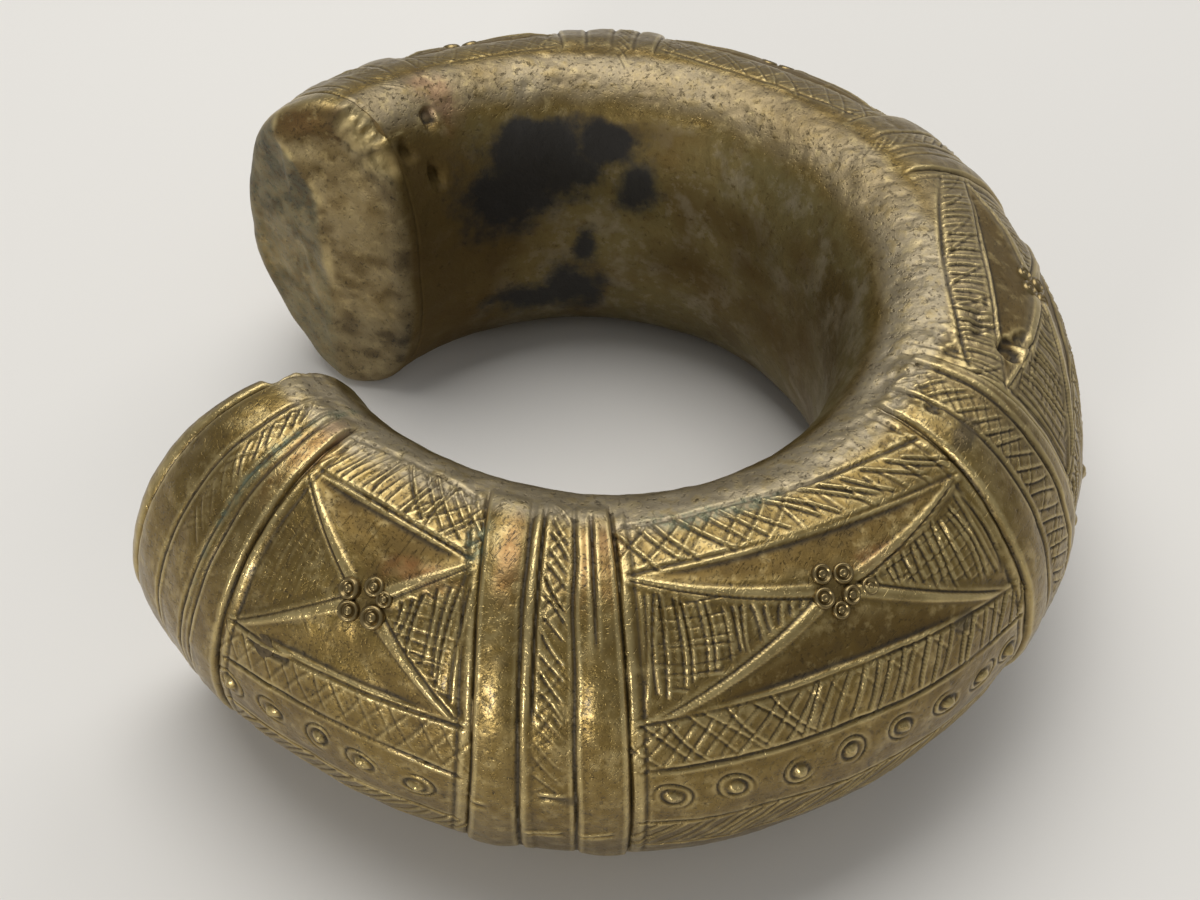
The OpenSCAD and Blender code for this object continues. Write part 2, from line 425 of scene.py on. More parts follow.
# Ribs that are rounded: start, end and height
ROUND_RIBS = (
    (Meridian(3.6, 3.6, 3.6), Meridian(9.8, 9.3, 8.8), 0.22),
    (Meridian(16.4, 16.6, 14.6), Meridian(20.2, 20.8, 19.4), 0.2),
    (Meridian(47.4, 50.4, 50.6), Meridian(54.4, 55.5, 56.2), 0.5),
    (Meridian(55.2, 55.8, 56.4), Meridian(56.6, 57.2, 57.8), 0.2),
    (Meridian(60.9, 61.6, 62.2), Meridian(66.3, 66.9, 67.4), 0.35),
    (Meridian(115.4, 114.7, 116.6), Meridian(120.0, 120.2, 119.2), 0.35),
    (Meridian(126.8, 126.4, 124.9), Meridian(129.4, 129.2, 128.6), 0.2),
    (straight(174.4), straight(178.5), 0.3),
    (straight(185.1), straight(191), 0.35),
    (straight(230.7), straight(234.5), 0.3),
    (straight(238.4), straight(242.8), 0.25),
    (straight(242.8), straight(247.4), 0.3),
    (straight(274.7), straight(279.6), 0.3),
    (straight(285.5), straight(289.2), 0.2),
)
# Scratches and short cuts: arc and s of both ends, depth and half width
SCRATCHES = (
    (57.2, 38.9, 60.9, 37.8, 0.35, 0.3),
    (62.4, 38.2, 65.8, 37.1, 0.35, 0.3),
    (51.3, 33.5, 53.4, 33.2, 0.3, 0.35),
    (58.4, 30.9, 61.2, 30.8, 0.25, 0.3),
    (58.3, 21.6, 59.4, 19.9, 0.16, 0.18),
    (59.4, 19.9, 60.4, 21.3, 0.16, 0.18),
    (24.4, 24.5, 30.4, 23.9, 0.4, 0.3),
    (75.2, 8.1, 81.6, 7.4, 0.08, 0.15),
    (30.2, 17.4, 31.6, 19.6, 0.08, 0.15),
)
# Grooves that end on the face: the line, and where they start and end
SHORT_GROOVES = ((Meridian(63.3, 63.9, 64.2), -2, 14), (Meridian(56.6, 57.2, 57.8), -2, 22))
# Ribs that are hatched: start, end, and how far down the strokes run
HATCHED_RIBS = (
    (10.3, 14.1, 9),
    (57.2, 60.9, 20),
    (120.6, 126.0, 36),
    (181.2, 184.8, 36),
    (234.9, 238.1, 36),
    (279.9, 285.2, 30),
)
# Strokes of the bands that the photograph doesn't show clearly
CROSSED = (
    (2.6, 1.0, 1.0, (0.06, 0.94), (0, 1)),
    (2.6, -0.6, 0.8, (0.05, 0.85), (0, 1)),
)
LEANING = (
    (2.0, -0.5, 1.1, (0.08, 0.95), (0, 1)),
    (2.2, 0.7, 0.6, (0.02, 0.6), (0, 1)),
)
PANELS = {
    "panel_1": Panel(
        start=EDGES["panel_1"],
        end=EDGES["ribs_1"],
        lines=(
            (-2.2, -3.8, -1.9),
            (3.2, 3.2, 5.2),
            (24, 23.2, 23.5),
            (30, 28.6, 30.6),
            (38, 38.3, 39),
            (44, 44.4, 45),
        ),
        rosette=(36.9, 13.2),
        grid=(0.15, 1),
        upper=(
            (1.25, -0.3, 1.1, (0.05, 0.95), (0, 0.7)),
            (1.7, -0.9, 1.2, (0.05, 0.95), (0.6, 1)),
            (1.9, 0.9, 1.0, (0.05, 0.95), (0.5, 1)),
        ),
        lower=(
            (2.4, -0.7, 0.5, (0.1, 0.95), (0, 1)),
            (2.6, 0.6, 0.45, (0.05, 0.9), (0, 1)),
        ),
        dots=(22.1, 28.4, 34.5, 39.8, 45.7),
        pellets=(
            (34.8, 12.7, 1.0),
            (37.6, 11.5, 0.9),
            (39.2, 12.3, 0.75),
            (35.5, 15.0, 1.0),
            (38.5, 14.6, 1.05),
        ),
        # The lower hollow is kept almost free of brown: its own lighter colour, and painted light on this
        # lit hollow
        patina=(1, 0.1),
    ),
    "panel_2": Panel(
        start=EDGES["panel_2"],
        end=EDGES["ribs_2"],
        lines=(
            (-1, -1.6, 3.2),
            (4.9, 4, 8.9),
            (21.2, 19.9, 24.8),
            (27, 26.6, 29.8),
            (35.4, 36, 39),
            (42, 42.8, 45.5),
        ),
        rosette=(91.9, 11),
        grid=(1, 1),
        upper=(
            (2.5, 0.9, 1.3, (0.04, 0.96), (0, 1)),
            (2.6, -0.9, 1.1, (0.04, 0.96), (0, 0.5)),
            (2.5, 0.3, 0.8, (0.3, 0.98), (0.45, 1)),
        ),
        lower=(
            (2.4, 0.9, 1.1, (0.06, 0.95), (0, 0.38)),
            (2.2, -0.8, 1.1, (0.06, 0.95), (0, 0.38)),
            (1.75, -0.45, 1.4, (0.05, 0.97), (0.36, 1)),
            (3.1, 0.6, 0.5, (0.05, 0.6), (0.36, 1)),
        ),
        dots=(71.3, 77.5, 84.1, 89.6, 95.9, 101.8, 107.3, 112.3),
        pellets=(
            (90.8, 9.0, 0.95),
            (93.3, 9.9, 0.95),
            (93.2, 12.3, 0.9),
            (95.6, 12.5, 0.85),
            (90.0, 11.5, 0.95),
            (91.4, 13.4, 0.8),
        ),
    ),
    "panel_3": Panel(
        start=EDGES["panel_3"],
        end=EDGES["ribs_3"],
        lines=(
            (3.8, -0.3, 5.6),
            (8.8, 5.2, 9.8),
            (24.5, 21.5, 25),
            (30, 27.4, 30.5),
            (38.5, 36.5, 39),
            (45, 43, 45.5),
        ),
        rosette=(153.6, 14),
        grid=(1, 0.6),
        upper=(
            (1.5, 0.15, 1.2, (0.05, 0.95), (0, 1)),
            (4.2, 0.9, 0.8, (0.05, 0.95), (0, 1)),
        ),
        lower=LEANING,
    ),
    "panel_4": Panel(
        start=EDGES["panel_4"],
        end=EDGES["ribs_4"],
        lines=(
            (3.2, 0.5, 2.5),
            (8.4, 5.8, 8),
            (24, 21.8, 24),
            (29.8, 27.6, 29.8),
            (38.2, 36.4, 38.2),
            (44.4, 42.8, 44.4),
        ),
        rosette=(212.7, 14),
        grid=(1, 1),
        upper=CROSSED,
        lower=LEANING,
    ),
    "panel_5": Panel(
        start=EDGES["panel_5"],
        end=EDGES["far_collar"],
        lines=(
            (1.4, 0.3, 0.6),
            (6.6, 5.6, 6),
            (22.6, 21.6, 22.4),
            (28.2, 27.4, 28),
            (36.6, 36.2, 36.6),
            (42.8, 42.4, 42.8),
        ),
        rosette=(262.4, 13.6),
        grid=(0.4, 1),
        upper=CROSSED,
        lower=LEANING,
    ),
}
# Black patches on the wrist side, brown spots, copper blushes, green corrosion and iron spots: arc, s,
# reach round the ring and reach along s
BLACK_PATCHES = (
    (253, -15, 11, 7.5),
    (248, -19, 6, 5),
    (265, -22.5, 8, 6.5),
    (260, -19, 6, 6),
    (240, -14, 6, 4.5),
    (230.5, -21.5, 3.4, 4.4),
    (258, -43.5, 6, 3.5),
    (247, -41.5, 4.6, 5.5),
    (243, -33, 1.8, 4),
)
BROWN_SPOTS = (
    (200, -22, 4, 2.4),
    (194, -28, 4, 2.4),
    (178, -19, 3, 2),
    (186, -36, 6, 4),
    (214, -33, 5, 3),
    (170, -30, 5, 5),
    (272, -30, 8, 9),
    (236, -12, 12, 4),
)
BLUSHES = (
    (98, 9.6, 4, 1.2),
    (42, 8.6, 4, 1.4),
    (18.4, 2, 2, 6),
    (52.8, 4, 1.6, 5),
    (64.5, 4, 2, 5),
    (276.5, -6, 3, 5),
)
GREENS = (
    (79.5, -1.6, 5, 1.2),
    (15.2, 6, 0.7, 12),
    (84, -1.4, 6, 0.8),
    (48.2, 3, 1.2, 2.4),
)
IRON_SPOTS = (
    (27.2, 24.5, 3.4, 0.4),
    (61.1, 30.9, 1.8, 0.9),
    (118.8, 6.6, 2.2, 1.2),
    (105.4, 22.6, 1.6, 0.9),
)
# Crumbled places on the rim: arc, s, reach round the ring and along s
CRUMBLED = ((123, -2, 7, 3), (133, 0.5, 5, 2.2), (113, 1.5, 2.4, 1.6), (141, 4, 4, 2))
# Pits: arc, s, reach and depth
PITS = (
    (279.6, -8.5, 1.6, 0.9),
    (282.7, -16.7, 1.7, 1.4),
    (288.7, -12.2, 1.5, 1.0),
    (137.5, 8.2, 2.2, 1.1),
    (119.2, 2.3, 1.1, 0.6),
    (140.5, 10, 1.6, 0.7),
)


class Relief:
    """Height of the cast and chased relief over the bare surface, and the marks that colour it."""

    def __init__(self, ring, sizes, arc, s):
        self.ring, self.sizes = ring, sizes
        self.arc, self.s = np.broadcast_arrays(arc, s)
        self.points = ring.at(self.arc, self.s)
        self.radius = ring.radius(self.s)
        self.height = np.zeros(self.arc.shape)
        self.hand = np.random.default_rng(sizes.seed + int(np.mean(arc) * 10))
        worn = 5 * smooth(135, 180, self.arc)
        self.rubbed = 1 - 0.6 * smooth(150, 185, self.arc) * (1 - smooth(6, 13, self.s))
        self.face = smooth(-5, -2, self.s - worn) * (1 - smooth(44, 49, self.s)) * self.rubbed
        self.shine = np.zeros(self.arc.shape)
        self.plain = np.zeros(self.arc.shape)
        self.seat_shade = np.zeros(self.arc.shape)

    def mm(self, name):
        """One of the relief's sizes, in mm."""
        return getattr(self.sizes, name) / MM

    def past(self, arc):
        """Distance round the ring from an arc, in mm."""
        return (self.arc - arc) * RADIAN * self.radius

    def across(self, meridian):
        """Distance round the ring from a line across it, in mm."""
        return self.past(meridian.at(self.s))

    def cut(self, distance, depth, width, share=1.0):
        """A round-bottomed cut with a little burr thrown up at its sides."""
        self.height -= share * depth * bell(distance, width)
        self.height += share * depth * 0.12 * bell(np.abs(distance) - 1.9 * width, 0.8 * width)

    def stroke(self, first, last, depth, width):
        """One stroke of the chisel between two places, a little bowed, with a burr at one side."""
        s_mid = (first[1] + last[1]) / 2
        scale = RADIAN * float(self.ring.radius(np.float64(s_mid)))
        pad = 3 * width
        arcs = min(first[0], last[0]) - pad / scale, max(first[0], last[0]) + pad / scale
        rows = min(first[1], last[1]) - pad, max(first[1], last[1]) + pad
        near_rows = np.nonzero((self.s[0] > rows[0]) & (self.s[0] < rows[1]))[0]
        if not len(near_rows):
            return
        band = slice(near_rows[0], near_rows[-1] + 1)
        middle = self.arc[:, near_rows[len(near_rows) // 2]]
        columns = np.nonzero((middle > arcs[0] - 0.6) & (middle < arcs[1] + 0.6))[0]
        if not len(columns):
            return
        part = slice(columns[0], columns[-1] + 1), band
        x = (self.arc[part] - first[0]) * scale
        y = self.s[part] - first[1]
        dx, dy = (last[0] - first[0]) * scale, last[1] - first[1]
        run = math.hypot(dx, dy)
        t = (x * dx + y * dy) / run
        bow = self.hand.uniform(-0.05, 0.05) * run
        off = (x * dy - y * dx) / run - bow * 4 * t / run * (1 - t / run)
        fade = smooth(-0.3, 0.5, t) * (1 - 0.4 * t / run) * (1 - smooth(run - 0.7, run + 0.2, t))
        fade *= self.rubbed[part]
        self.height[part] -= depth * fade * bell(off, width)
        self.height[part] += 0.7 * depth * fade * bell(off - 2.1 * width, width)

    def strokes(self, first, last, pitch, slant, depth, wobble, span=(0.08, 0.92), reach=(0, 1)):
        """A row of slanting strokes between two edges, given as functions of the arc."""
        width = self.mm("stroke_width")
        s_mid = float(first(0.5) + last(0.5)) / 2
        scale = RADIAN * float(self.ring.radius(np.float64(s_mid)))
        count = max(int(self.run * scale / pitch), 1)
        for i in range(count):
            share = (i + 0.5 + self.hand.uniform(-wobble, wobble)) / count
            if not reach[0] < share < reach[1]:
                continue
            top = float(first(share)) + span[0] * float(last(share) - first(share))
            low = float(first(share)) + span[1] * float(last(share) - first(share))
            top += self.hand.uniform(-0.3, 0.3)
            low += self.hand.uniform(-0.35, 0.35)
            lean = slant * (low - top) / scale * self.hand.uniform(0.8, 1.2)
            arc = self.begin + share * self.run
            strength = depth * self.hand.uniform(0.65, 1.25)
            wide = width * self.hand.uniform(0.85, 1.2)
            self.stroke((arc - lean / 2, top), (arc + lean / 2, low), strength, wide)

    def unevenness(self):
        """Dents and swellings of a hand-made casting."""
        dent = self.mm("dent")
        self.height += dent * 0.9 * spread(self.points, 9, 3)
        self.height += dent * 0.4 * spread(self.points, 3.2, 4)
        self.height += dent * 0.2 * spread(self.points, 1.3, 5)
        grit = smooth(0.3, 0.8, spread(self.points, 1.2, 7))
        self.height += self.land() * (0.1 * spread(self.points, 2.1, 6) - 0.1 * grit)
        self.height += (1 - smooth(-14, -9, self.s)) * dent * 1.2 * spread(self.points, 14, 12)

    def land(self):
        """Share of the bare rough land along the upper rim."""
        edge = 0.8 * spread(self.points, 4, 8)
        top = smooth(-10, -7, self.s + edge) * (1 - smooth(-1.6, 0.4, self.s + 0.5 * edge))
        return top * (self.s < 20)

    def ribs(self):
        """Rib groups and collars stand above the panels, with a groove along each edge."""
        rise = np.zeros(self.arc.shape)
        for name, start, end in PIECES:
            if name not in PANELS:
                from_start, to_end = self.across(EDGES[start]), -self.across(EDGES[end])
                rise = np.maximum(rise, smooth(-0.3, 0.5, from_start) * smooth(-0.3, 0.5, to_end))
        self.height += self.mm("rib") * rise * self.face
        for name, edge in EDGES.items():
            plate = name.endswith("plate")
            reach = 1.0 if plate else self.face
            depth = 0.2 * self.mm("groove") if plate else self.mm("groove")
            off = self.across(edge) + 0.15 * spread(self.points, 6, 13)
            self.cut(off, depth, 0.23, reach * (0.8 + 0.4 * spread(self.points, 4, 16)))
        for groove in GROOVES:
            off = self.across(groove)
            if np.min(np.abs(off)) < 3:
                wander = 0.25 * spread(self.points, 6, 9)
                deep = 0.65 + 0.4 * spread(self.points, 5, 10)
                self.cut(off + wander, self.mm("groove") * 0.75, 0.22, self.face * deep)
                self.height += 0.12 * bell(off + wander - 0.62, 0.26) * self.face * deep
        for groove, first, last in SHORT_GROOVES:
            reach = smooth(first - 1, first + 1, self.s) * (1 - smooth(last - 4, last, self.s))
            self.cut(self.across(groove), self.mm("groove") * 0.8, 0.25, reach)

    def rounded(self, start, end, height):
        """Rounds the top of one rib between two lines."""
        first, last = start.at(self.s), end.at(self.s)
        across = np.clip(np.abs(2 * (self.arc - first) / (last - first) - 1), 0, 1)
        self.height += height * (1 - across**2.2) * self.face

    def hatched_rib(self, start, end, low):
        """A rib with crossed strokes that grow faint further down."""
        inset = 0.45 / (RADIAN * FACE_RADIUS)
        left, right = start + inset, end - inset
        width = self.mm("stroke_width")
        s = -1.5
        while s < low + 10:
            faint = 1 if s < low else 0.35
            depth = self.mm("stroke") * faint * self.hand.uniform(0.7, 1.2)
            tilt = self.hand.uniform(2.6, 3.6)
            above = s - tilt / 2
            below = s + tilt / 2 + self.hand.uniform(-0.3, 0.3)
            self.stroke((left, above), (right, below), 1.3 * depth, width)
            if self.hand.uniform() < 0.7:
                self.stroke((left, below), (right, above), 0.7 * depth, width)
            s += self.hand.uniform(1.5, 2.2)

    def panel(self, panel):
        """Bands, star and ring dots of one panel."""
        first = panel.start.at(np.float64(14))
        last = panel.end.at(np.float64(14))
        self.begin, self.run = float(first), float(last - first)
        start, end = panel.start.at(self.s), panel.end.at(self.s)
        share = (self.arc - start) / (end - start)
        edge = np.minimum(self.past(start), -self.past(end))
        inside = smooth(0.5, 1.3, edge)
        self.height += 0.16 * bell(edge - 1.0, 0.4) * self.face
        self.cut(edge - 1.7, 0.4 * self.mm("line"), 0.22, self.face * (edge < 4))
        wander = 0.28 * spread(self.points, 7, 11)
        for number in range(6):
            off = self.s - panel.line(number, share) + wander
            deep = np.clip(0.85 + 0.6 * spread(self.points, 6, 20 + number), 0.1, 1.4)
            self.cut(off, self.mm("line"), 0.24, inside * deep * self.rubbed)
        self.star(panel, share, inside)
        self.band(panel, 0, panel.upper)
        self.band(panel, 2, panel.lower)
        top, low = (lambda at: panel.line(4, at)), (lambda at: panel.line(5, at))
        self.strokes(top, low, 1.7, -0.9, self.mm("stroke"), 0.15)
        self.dots(panel)

    def band(self, panel, number, families):
        """A band of slanting strokes that cross each other."""
        top, low = (lambda at: panel.line(number, at)), (lambda at: panel.line(number + 1, at))
        for pitch, slant, strength, span, reach in families:
            self.strokes(top, low, pitch, slant, strength * self.mm("stroke"), 0.2, span, reach)

    @staticmethod
    def corners(panel):
        """Arc and s of a star's corners, from the upper one at the panel's start round to the lower one."""
        places = []
        for at, number in ((0.03, 1), (0.97, 1), (0.97, 2), (0.03, 2)):
            s = float(panel.line(number, at))
            begin = float(panel.start.at(np.float64(s)))
            end = float(panel.end.at(np.float64(s)))
            places.append((begin + at * (end - begin), s))
        return places

    def star(self, panel, share, inside):
        """Four rays from the rosette to the corners, two plain hollows and two hatched grounds."""
        arc_mid, s_mid = panel.rosette
        scale = RADIAN * self.radius
        corners = self.corners(panel)
        x = (self.arc - arc_mid) * scale
        y = self.s - s_mid
        top = self.s - panel.line(1, share)
        low = panel.line(2, share) - self.s
        field = smooth(0.2, 0.9, np.minimum(top, low)) * inside
        near = np.full(self.arc.shape, 1e3)
        reach = smooth(1.8, 3.2, np.hypot(x, y))
        sides = []
        for (arc, s), hatched in zip(corners, (1, -1, 1, -1)):
            dx = (arc - arc_mid) * RADIAN * float(self.ring.radius(np.float64((s + s_mid) / 2)))
            dy = s - s_mid
            run = math.hypot(dx, dy)
            t = np.clip((x * dx + y * dy) / run, 0, run)
            off = (x * dy - y * dx) / run
            sides.append(off)
            away = np.hypot(x - t * dx / run, y - t * dy / run)
            thick = 0.22 + 0.42 * (1 - t / run)
            ridge = 1 - smooth(thick * 0.7, thick * 1.4, away)
            tall = self.mm("ray") * (0.4 + 0.6 * smooth(0, 0.35 * run, run - t))
            self.height += tall * ridge * field * reach
            self.cut(away - thick * 1.55, 0.22, 0.16, field * reach * (off * hatched > 0))
            near = np.minimum(near, away / (0.2 + thick))
        hollow_top = (sides[0] < 0) & (sides[1] > 0) & (y < 0)
        hollow_low = (sides[2] < 0) & (sides[3] > 0) & (y > 0)
        plain = (hollow_top | hollow_low).astype(float)
        dip = smooth(0.8, 7, near) * field
        self.height -= self.mm("hollow") * plain * dip
        self.height -= self.mm("sunk") * (1 - plain) * smooth(0.8, 3, near) * field
        # Brown patina in the hollows; where a panel holds it low, the lighter hollow is partly painted
        # light
        brown = hollow_top * panel.patina[0] + hollow_low * panel.patina[1]
        self.plain = brown * field * smooth(0.8, 3, near)
        self.height -= 0.25 * bell(np.hypot(x, y), 3.6)
        # A dark ring round the rosette, carried by the hollow mark: painted shadow under its pellets
        self.seat_shade = bell(np.hypot(x, y), 2.3)
        self.hatch_sides(panel, corners)

    def hatch_sides(self, panel, corners):
        """Upright strokes and cross strokes on the two side grounds of a star."""
        arc_mid, s_mid = panel.rosette
        width = self.mm("stroke_width")
        for side, amount in ((0, panel.grid[0]), (1, panel.grid[1])):
            upper = corners[0] if side == 0 else corners[1]
            lower = corners[3] if side == 0 else corners[2]
            outer = (upper[0] + lower[0]) / 2
            reach = outer - arc_mid
            run = abs(reach) * RADIAN * FACE_RADIUS
            count = int(run / 1.25)
            for i in range(count):
                t = (i + 0.9 + self.hand.uniform(-0.3, 0.3)) / (count + 0.4)
                if t < 0.2 or t > 0.97:
                    continue
                arc = arc_mid + reach * t
                above = s_mid + (upper[1] - s_mid) * t + 1.1
                below = s_mid + (lower[1] - s_mid) * t - 1.1
                if below - above < 1:
                    continue
                above += self.hand.uniform(0, 0.25) * (below - above) * 0.4
                below -= self.hand.uniform(0, 0.25) * (below - above) * 0.4
                lean = self.hand.uniform(-0.5, 0.1)
                depth = self.mm("stroke") * amount * self.hand.uniform(0.8, 1.5)
                wide = width * self.hand.uniform(0.9, 1.3)
                self.stroke((arc - lean, above), (arc + lean, below), depth, wide)
            s = min(upper[1], s_mid) + 2.2
            while s < lower[1] - 2.0:
                t = (s - s_mid) / ((upper[1] if s < s_mid else lower[1]) - s_mid)
                from_t = max(t + 0.14, 0.3) if side else max(t + 0.14, 0.55)
                if from_t < 0.86:
                    depth = self.mm("stroke") * amount * self.hand.uniform(0.45, 0.9)
                    slope = self.hand.uniform(-0.5, 0.5)
                    self.stroke(
                        (arc_mid + reach * from_t, s),
                        (arc_mid + reach * self.hand.uniform(0.86, 0.95), s + slope),
                        depth,
                        width * 0.9,
                    )
                s += self.hand.uniform(0.95, 1.6)

    def dots(self, panel):
        """Ring dots: a rough boss in a ring, with a second ring that is often broken."""
        count = max(int(round(self.run / 6.0)), 2)
        steps = [i + 0.5 + self.hand.uniform(-0.06, 0.06) for i in range(count)]
        even = [self.begin + step * self.run / count for step in steps]
        for arc in panel.dots or even:
            share = (arc - self.begin) / self.run
            s = 0.53 * float(panel.line(3, share)) + 0.47 * float(panel.line(4, share))
            s += self.hand.uniform(-0.3, 0.3)
            x = self.past(arc)
            y = self.s - s
            turn = np.arctan2(y, x)
            oval = 1 + 0.12 * np.sin(2 * turn + self.hand.uniform(0, 6))
            near = np.hypot(x, y * 1.1) * oval
            skew = np.hypot(x - self.hand.uniform(-0.4, 0.4), y - self.hand.uniform(-0.4, 0.4))
            rough = 1 + 0.5 * spread(self.points, 0.9, 14)
            boss = 1 - smooth(0.35, 1.05, near)
            self.height += self.mm("dot") * rough * boss
            self.shine = np.maximum(self.shine, boss)
            self.height -= 0.2 * bell(skew, 0.3)
            self.cut(near - 1.25, 0.2, 0.2, smooth(-1.3, 0.1, np.sin(turn + self.hand.uniform(0, 6))))
            self.cut(near - 2.1, 0.22, 0.17, smooth(-0.9, 0.3, np.sin(turn + self.hand.uniform(0, 6))))

    def scars(self):
        """Pits, crumbled places and broken ones."""
        crumbs = np.clip(1.6 * self.near(CRUMBLED) - 0.3, 0, 1)
        if np.any(crumbs):
            lumps = 0.6 * spread(self.points, 1.7, 17) + 0.4 * spread(self.points, 0.8, 18)
            self.height += crumbs * (0.6 * lumps - 0.2)
        for arc, s, reach, depth in PITS:
            x = self.past(arc)
            away = np.hypot(x, (self.s - s) * 0.8) * (1 + 0.35 * spread(self.points, 1.2, 15))
            self.height -= depth * (1 - smooth(0.35 * reach, reach, away))

    def near(self, places):
        """1 in the middle of the given places, falling evenly to 0 at twice their reach."""
        cover = np.zeros(self.arc.shape)
        for arc, s, wide, tall in places:
            x = self.past(arc)
            cover = np.maximum(cover, 1 - np.hypot(x / wide, (self.s - s) / tall) / 2)
        return cover

    def marks(self, places, sharp, seed):
        """Share of the surface that the marks at the given places cover, with ragged edges."""
        cover = np.zeros(self.arc.shape)
        ragged = 0.5 * spread(self.points, 4.5, seed) + 0.35 * spread(self.points, 1.6, seed + 1)
        for arc, s, wide, tall in places:
            x = self.past(arc)
            away = np.hypot(x / wide, (self.s - s) / tall) + ragged
            cover = np.maximum(cover, 1 - smooth(1 - sharp, 1 + sharp, away))
        return cover


def blurred(values, columns, rows):
    """Values evened out over a few columns and rows."""
    for axis, reach in ((0, columns), (1, rows)):
        margins = [(0, 0), (0, 0)]
        margins[axis] = (reach + 1, reach)
        sums = np.cumsum(np.pad(values, margins, "edge"), axis)
        high = np.take(sums, range(2 * reach + 1, sums.shape[axis]), axis)
        low = np.take(sums, range(sums.shape[axis] - 2 * reach - 1), axis)
        values = (high - low) / (2 * reach + 1)
    return values


# Meshes

MARKS = ("crest", "hollow", "brown", "bare", "wrist", "black_patch", "copper", "green", "iron")
# Columns of a stretch's inner wall, rows of an end plate's edge, rings of its face and of its back
INNER_COLUMNS = 9
PLATE_DEPTHS = 18
FACE_RINGS = 44
BACK_RINGS = 6


def section_rows(ring):
    """Places of the mesh's rows round the section, close together on the chased face."""
    runs = (
        (-ring.wrist_length, -9.5, 0.8),
        (-9.5, -3, 0.34),
        (-3, 46, 0.205),
        (46, 50, 0.4),
        (50, ring.face_length, 0.9),
    )
    rows = [np.linspace(a, b, max(int(round((b - a) / step)), 1), endpoint=False) for a, b, step in runs]
    return np.concatenate([*rows, [ring.face_length]])


def new_grid(name, columns, rows):
    """A flat grid of the given numbers of points, and the column and row of each point."""
    bpy.ops.object.select_all(action="DESELECT")
    bpy.ops.mesh.primitive_grid_add(x_subdivisions=columns - 1, y_subdivisions=rows - 1, size=2)
    piece = bpy.context.object
    piece.name = piece.data.name = name
    flat = np.empty(len(piece.data.vertices) * 3)
    piece.data.vertices.foreach_get("co", flat)
    flat = flat.reshape(-1, 3)
    column = np.rint((flat[:, 0] + 1) / 2 * (columns - 1)).astype(int)
    row = np.rint((flat[:, 1] + 1) / 2 * (rows - 1)).astype(int)
    return piece, column, row


def place_points(piece, points):
    """Puts the mesh's points at places given in mm."""
    piece.data.vertices.foreach_set("co", (points * MM).ravel().astype(np.float32))
    piece.data.update()


def write_marks(piece, marks, column, row):
    """Keeps the marks on the mesh for its finish to read."""
    for name in MARKS:
        values = marks[name][column, row] if name in marks else np.zeros(len(column))
        layer = piece.data.attributes.new(name, "FLOAT", "POINT")
        layer.data.foreach_set("value", values.astype(np.float32))


def settled(points):
    """Closes each ring of points on itself and keeps it above the floor."""
    points[..., -1, :] = points[..., 0, :]
    points[..., 2] = np.maximum(points[..., 2], REST_PLANE)
    return points


def pick(*pieces):
    """Selects these pieces only, the first one as the active one."""
    bpy.ops.object.select_all(action="DESELECT")
    for piece in pieces:
        piece.select_set(True)
    bpy.context.view_layer.objects.active = pieces[0]


def join(pieces):
    """Makes one piece of several, under the first one's name."""
    pick(*pieces)
    bpy.ops.object.join()
    return pieces[0]


def close_tube(piece):
    """Closes the seam along the tube and bridges its outer wall to its inner wall at both ends."""
    bpy.context.view_layer.objects.active = piece
    bpy.ops.object.mode_set(mode="EDIT")
    bpy.ops.mesh.select_all(action="SELECT")
    bpy.ops.mesh.remove_doubles(threshold=1e-7)
    bpy.ops.mesh.select_mode(type="EDGE")
    for end in ("tube_start", "tube_end"):
        bpy.ops.mesh.select_all(action="DESELECT")
        bpy.ops.object.vertex_group_set_active(group=end)
        bpy.ops.object.vertex_group_select()
        bpy.ops.mesh.bridge_edge_loops()
    bpy.ops.mesh.select_all(action="SELECT")
    bpy.ops.mesh.normals_make_consistent(inside=False)
    bpy.ops.object.mode_set(mode="OBJECT")


def finish_piece(piece, material, slot, *nodes):
    """Gives a piece its finish and its body, and hides the imported nodes that it stands for."""
    pick(piece)
    bpy.ops.object.shade_smooth_by_angle(angle=math.radians(75))
    piece.vertex_groups.clear()
    piece.data.materials.clear()
    piece.data.materials.append(material)
    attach(piece, "root")
    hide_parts(*nodes)


def group_ends(piece, column, last):
    """Groups the points of a tube's two ends."""
    for name, wanted in (("tube_start", 0), ("tube_end", last)):
        group = piece.vertex_groups.new(name=name)
        group.add([int(i) for i in np.nonzero(column == wanted)[0]], 1, "REPLACE")


def relief_marks(relief):
    """Marks that colour a finished relief's surface: its wear and patina, and painted shade in its recesses
    and round its rosettes.
    """
    land = relief.land()
    fine = (relief.height - blurred(relief.height, 3, 3)) * (relief.s > -9.5) * (1 - 0.8 * land)
    broad = (relief.height - blurred(relief.height, 14, 14)) * relief.face
    ragged = spread(relief.points, 2.5, 30)
    inner = 1 - smooth(-12, -8.5, relief.s + 0.8 * ragged)
    under = smooth(50, 58, relief.s)
    far = smooth(112, 150, relief.arc + 8 * ragged) * relief.face
    behind = smooth(150, 180, relief.arc) * (0.7 + 0.6 * spread(relief.points, 6, 31))
    dark_end = inner * smooth(258, 284, relief.arc + 6 * ragged)
    spots = inner * relief.near(BROWN_SPOTS)
    return {
        "crest": np.clip(fine * 10 + broad * 0.35 + 0.45 * relief.shine, 0, 1),
        # Hollow mark: patina dark in the fine grooves, painted shade in the broader recesses, and painted
        # shadow round each rosette
        "hollow": np.clip(-fine * 7 - broad * 0.4 + 0.3 * relief.seat_shade, 0, 1),
        "brown": np.clip(relief.plain + dark_end + spots + 0.3 * land * behind, 0, 1),
        "bare": np.clip(land * (1 - 0.36 * behind) + 0.5 * under + 0.55 * far, 0, 1),
        "wrist": inner,
        "black_patch": np.clip(relief.near(BLACK_PATCHES), 0, 1) * inner,
        "copper": relief.marks(BLUSHES, 0.55, 33),
        "green": relief.marks(GREENS, 0.5, 35),
        "iron": relief.marks(IRON_SPOTS, 0.3, 37),
    }


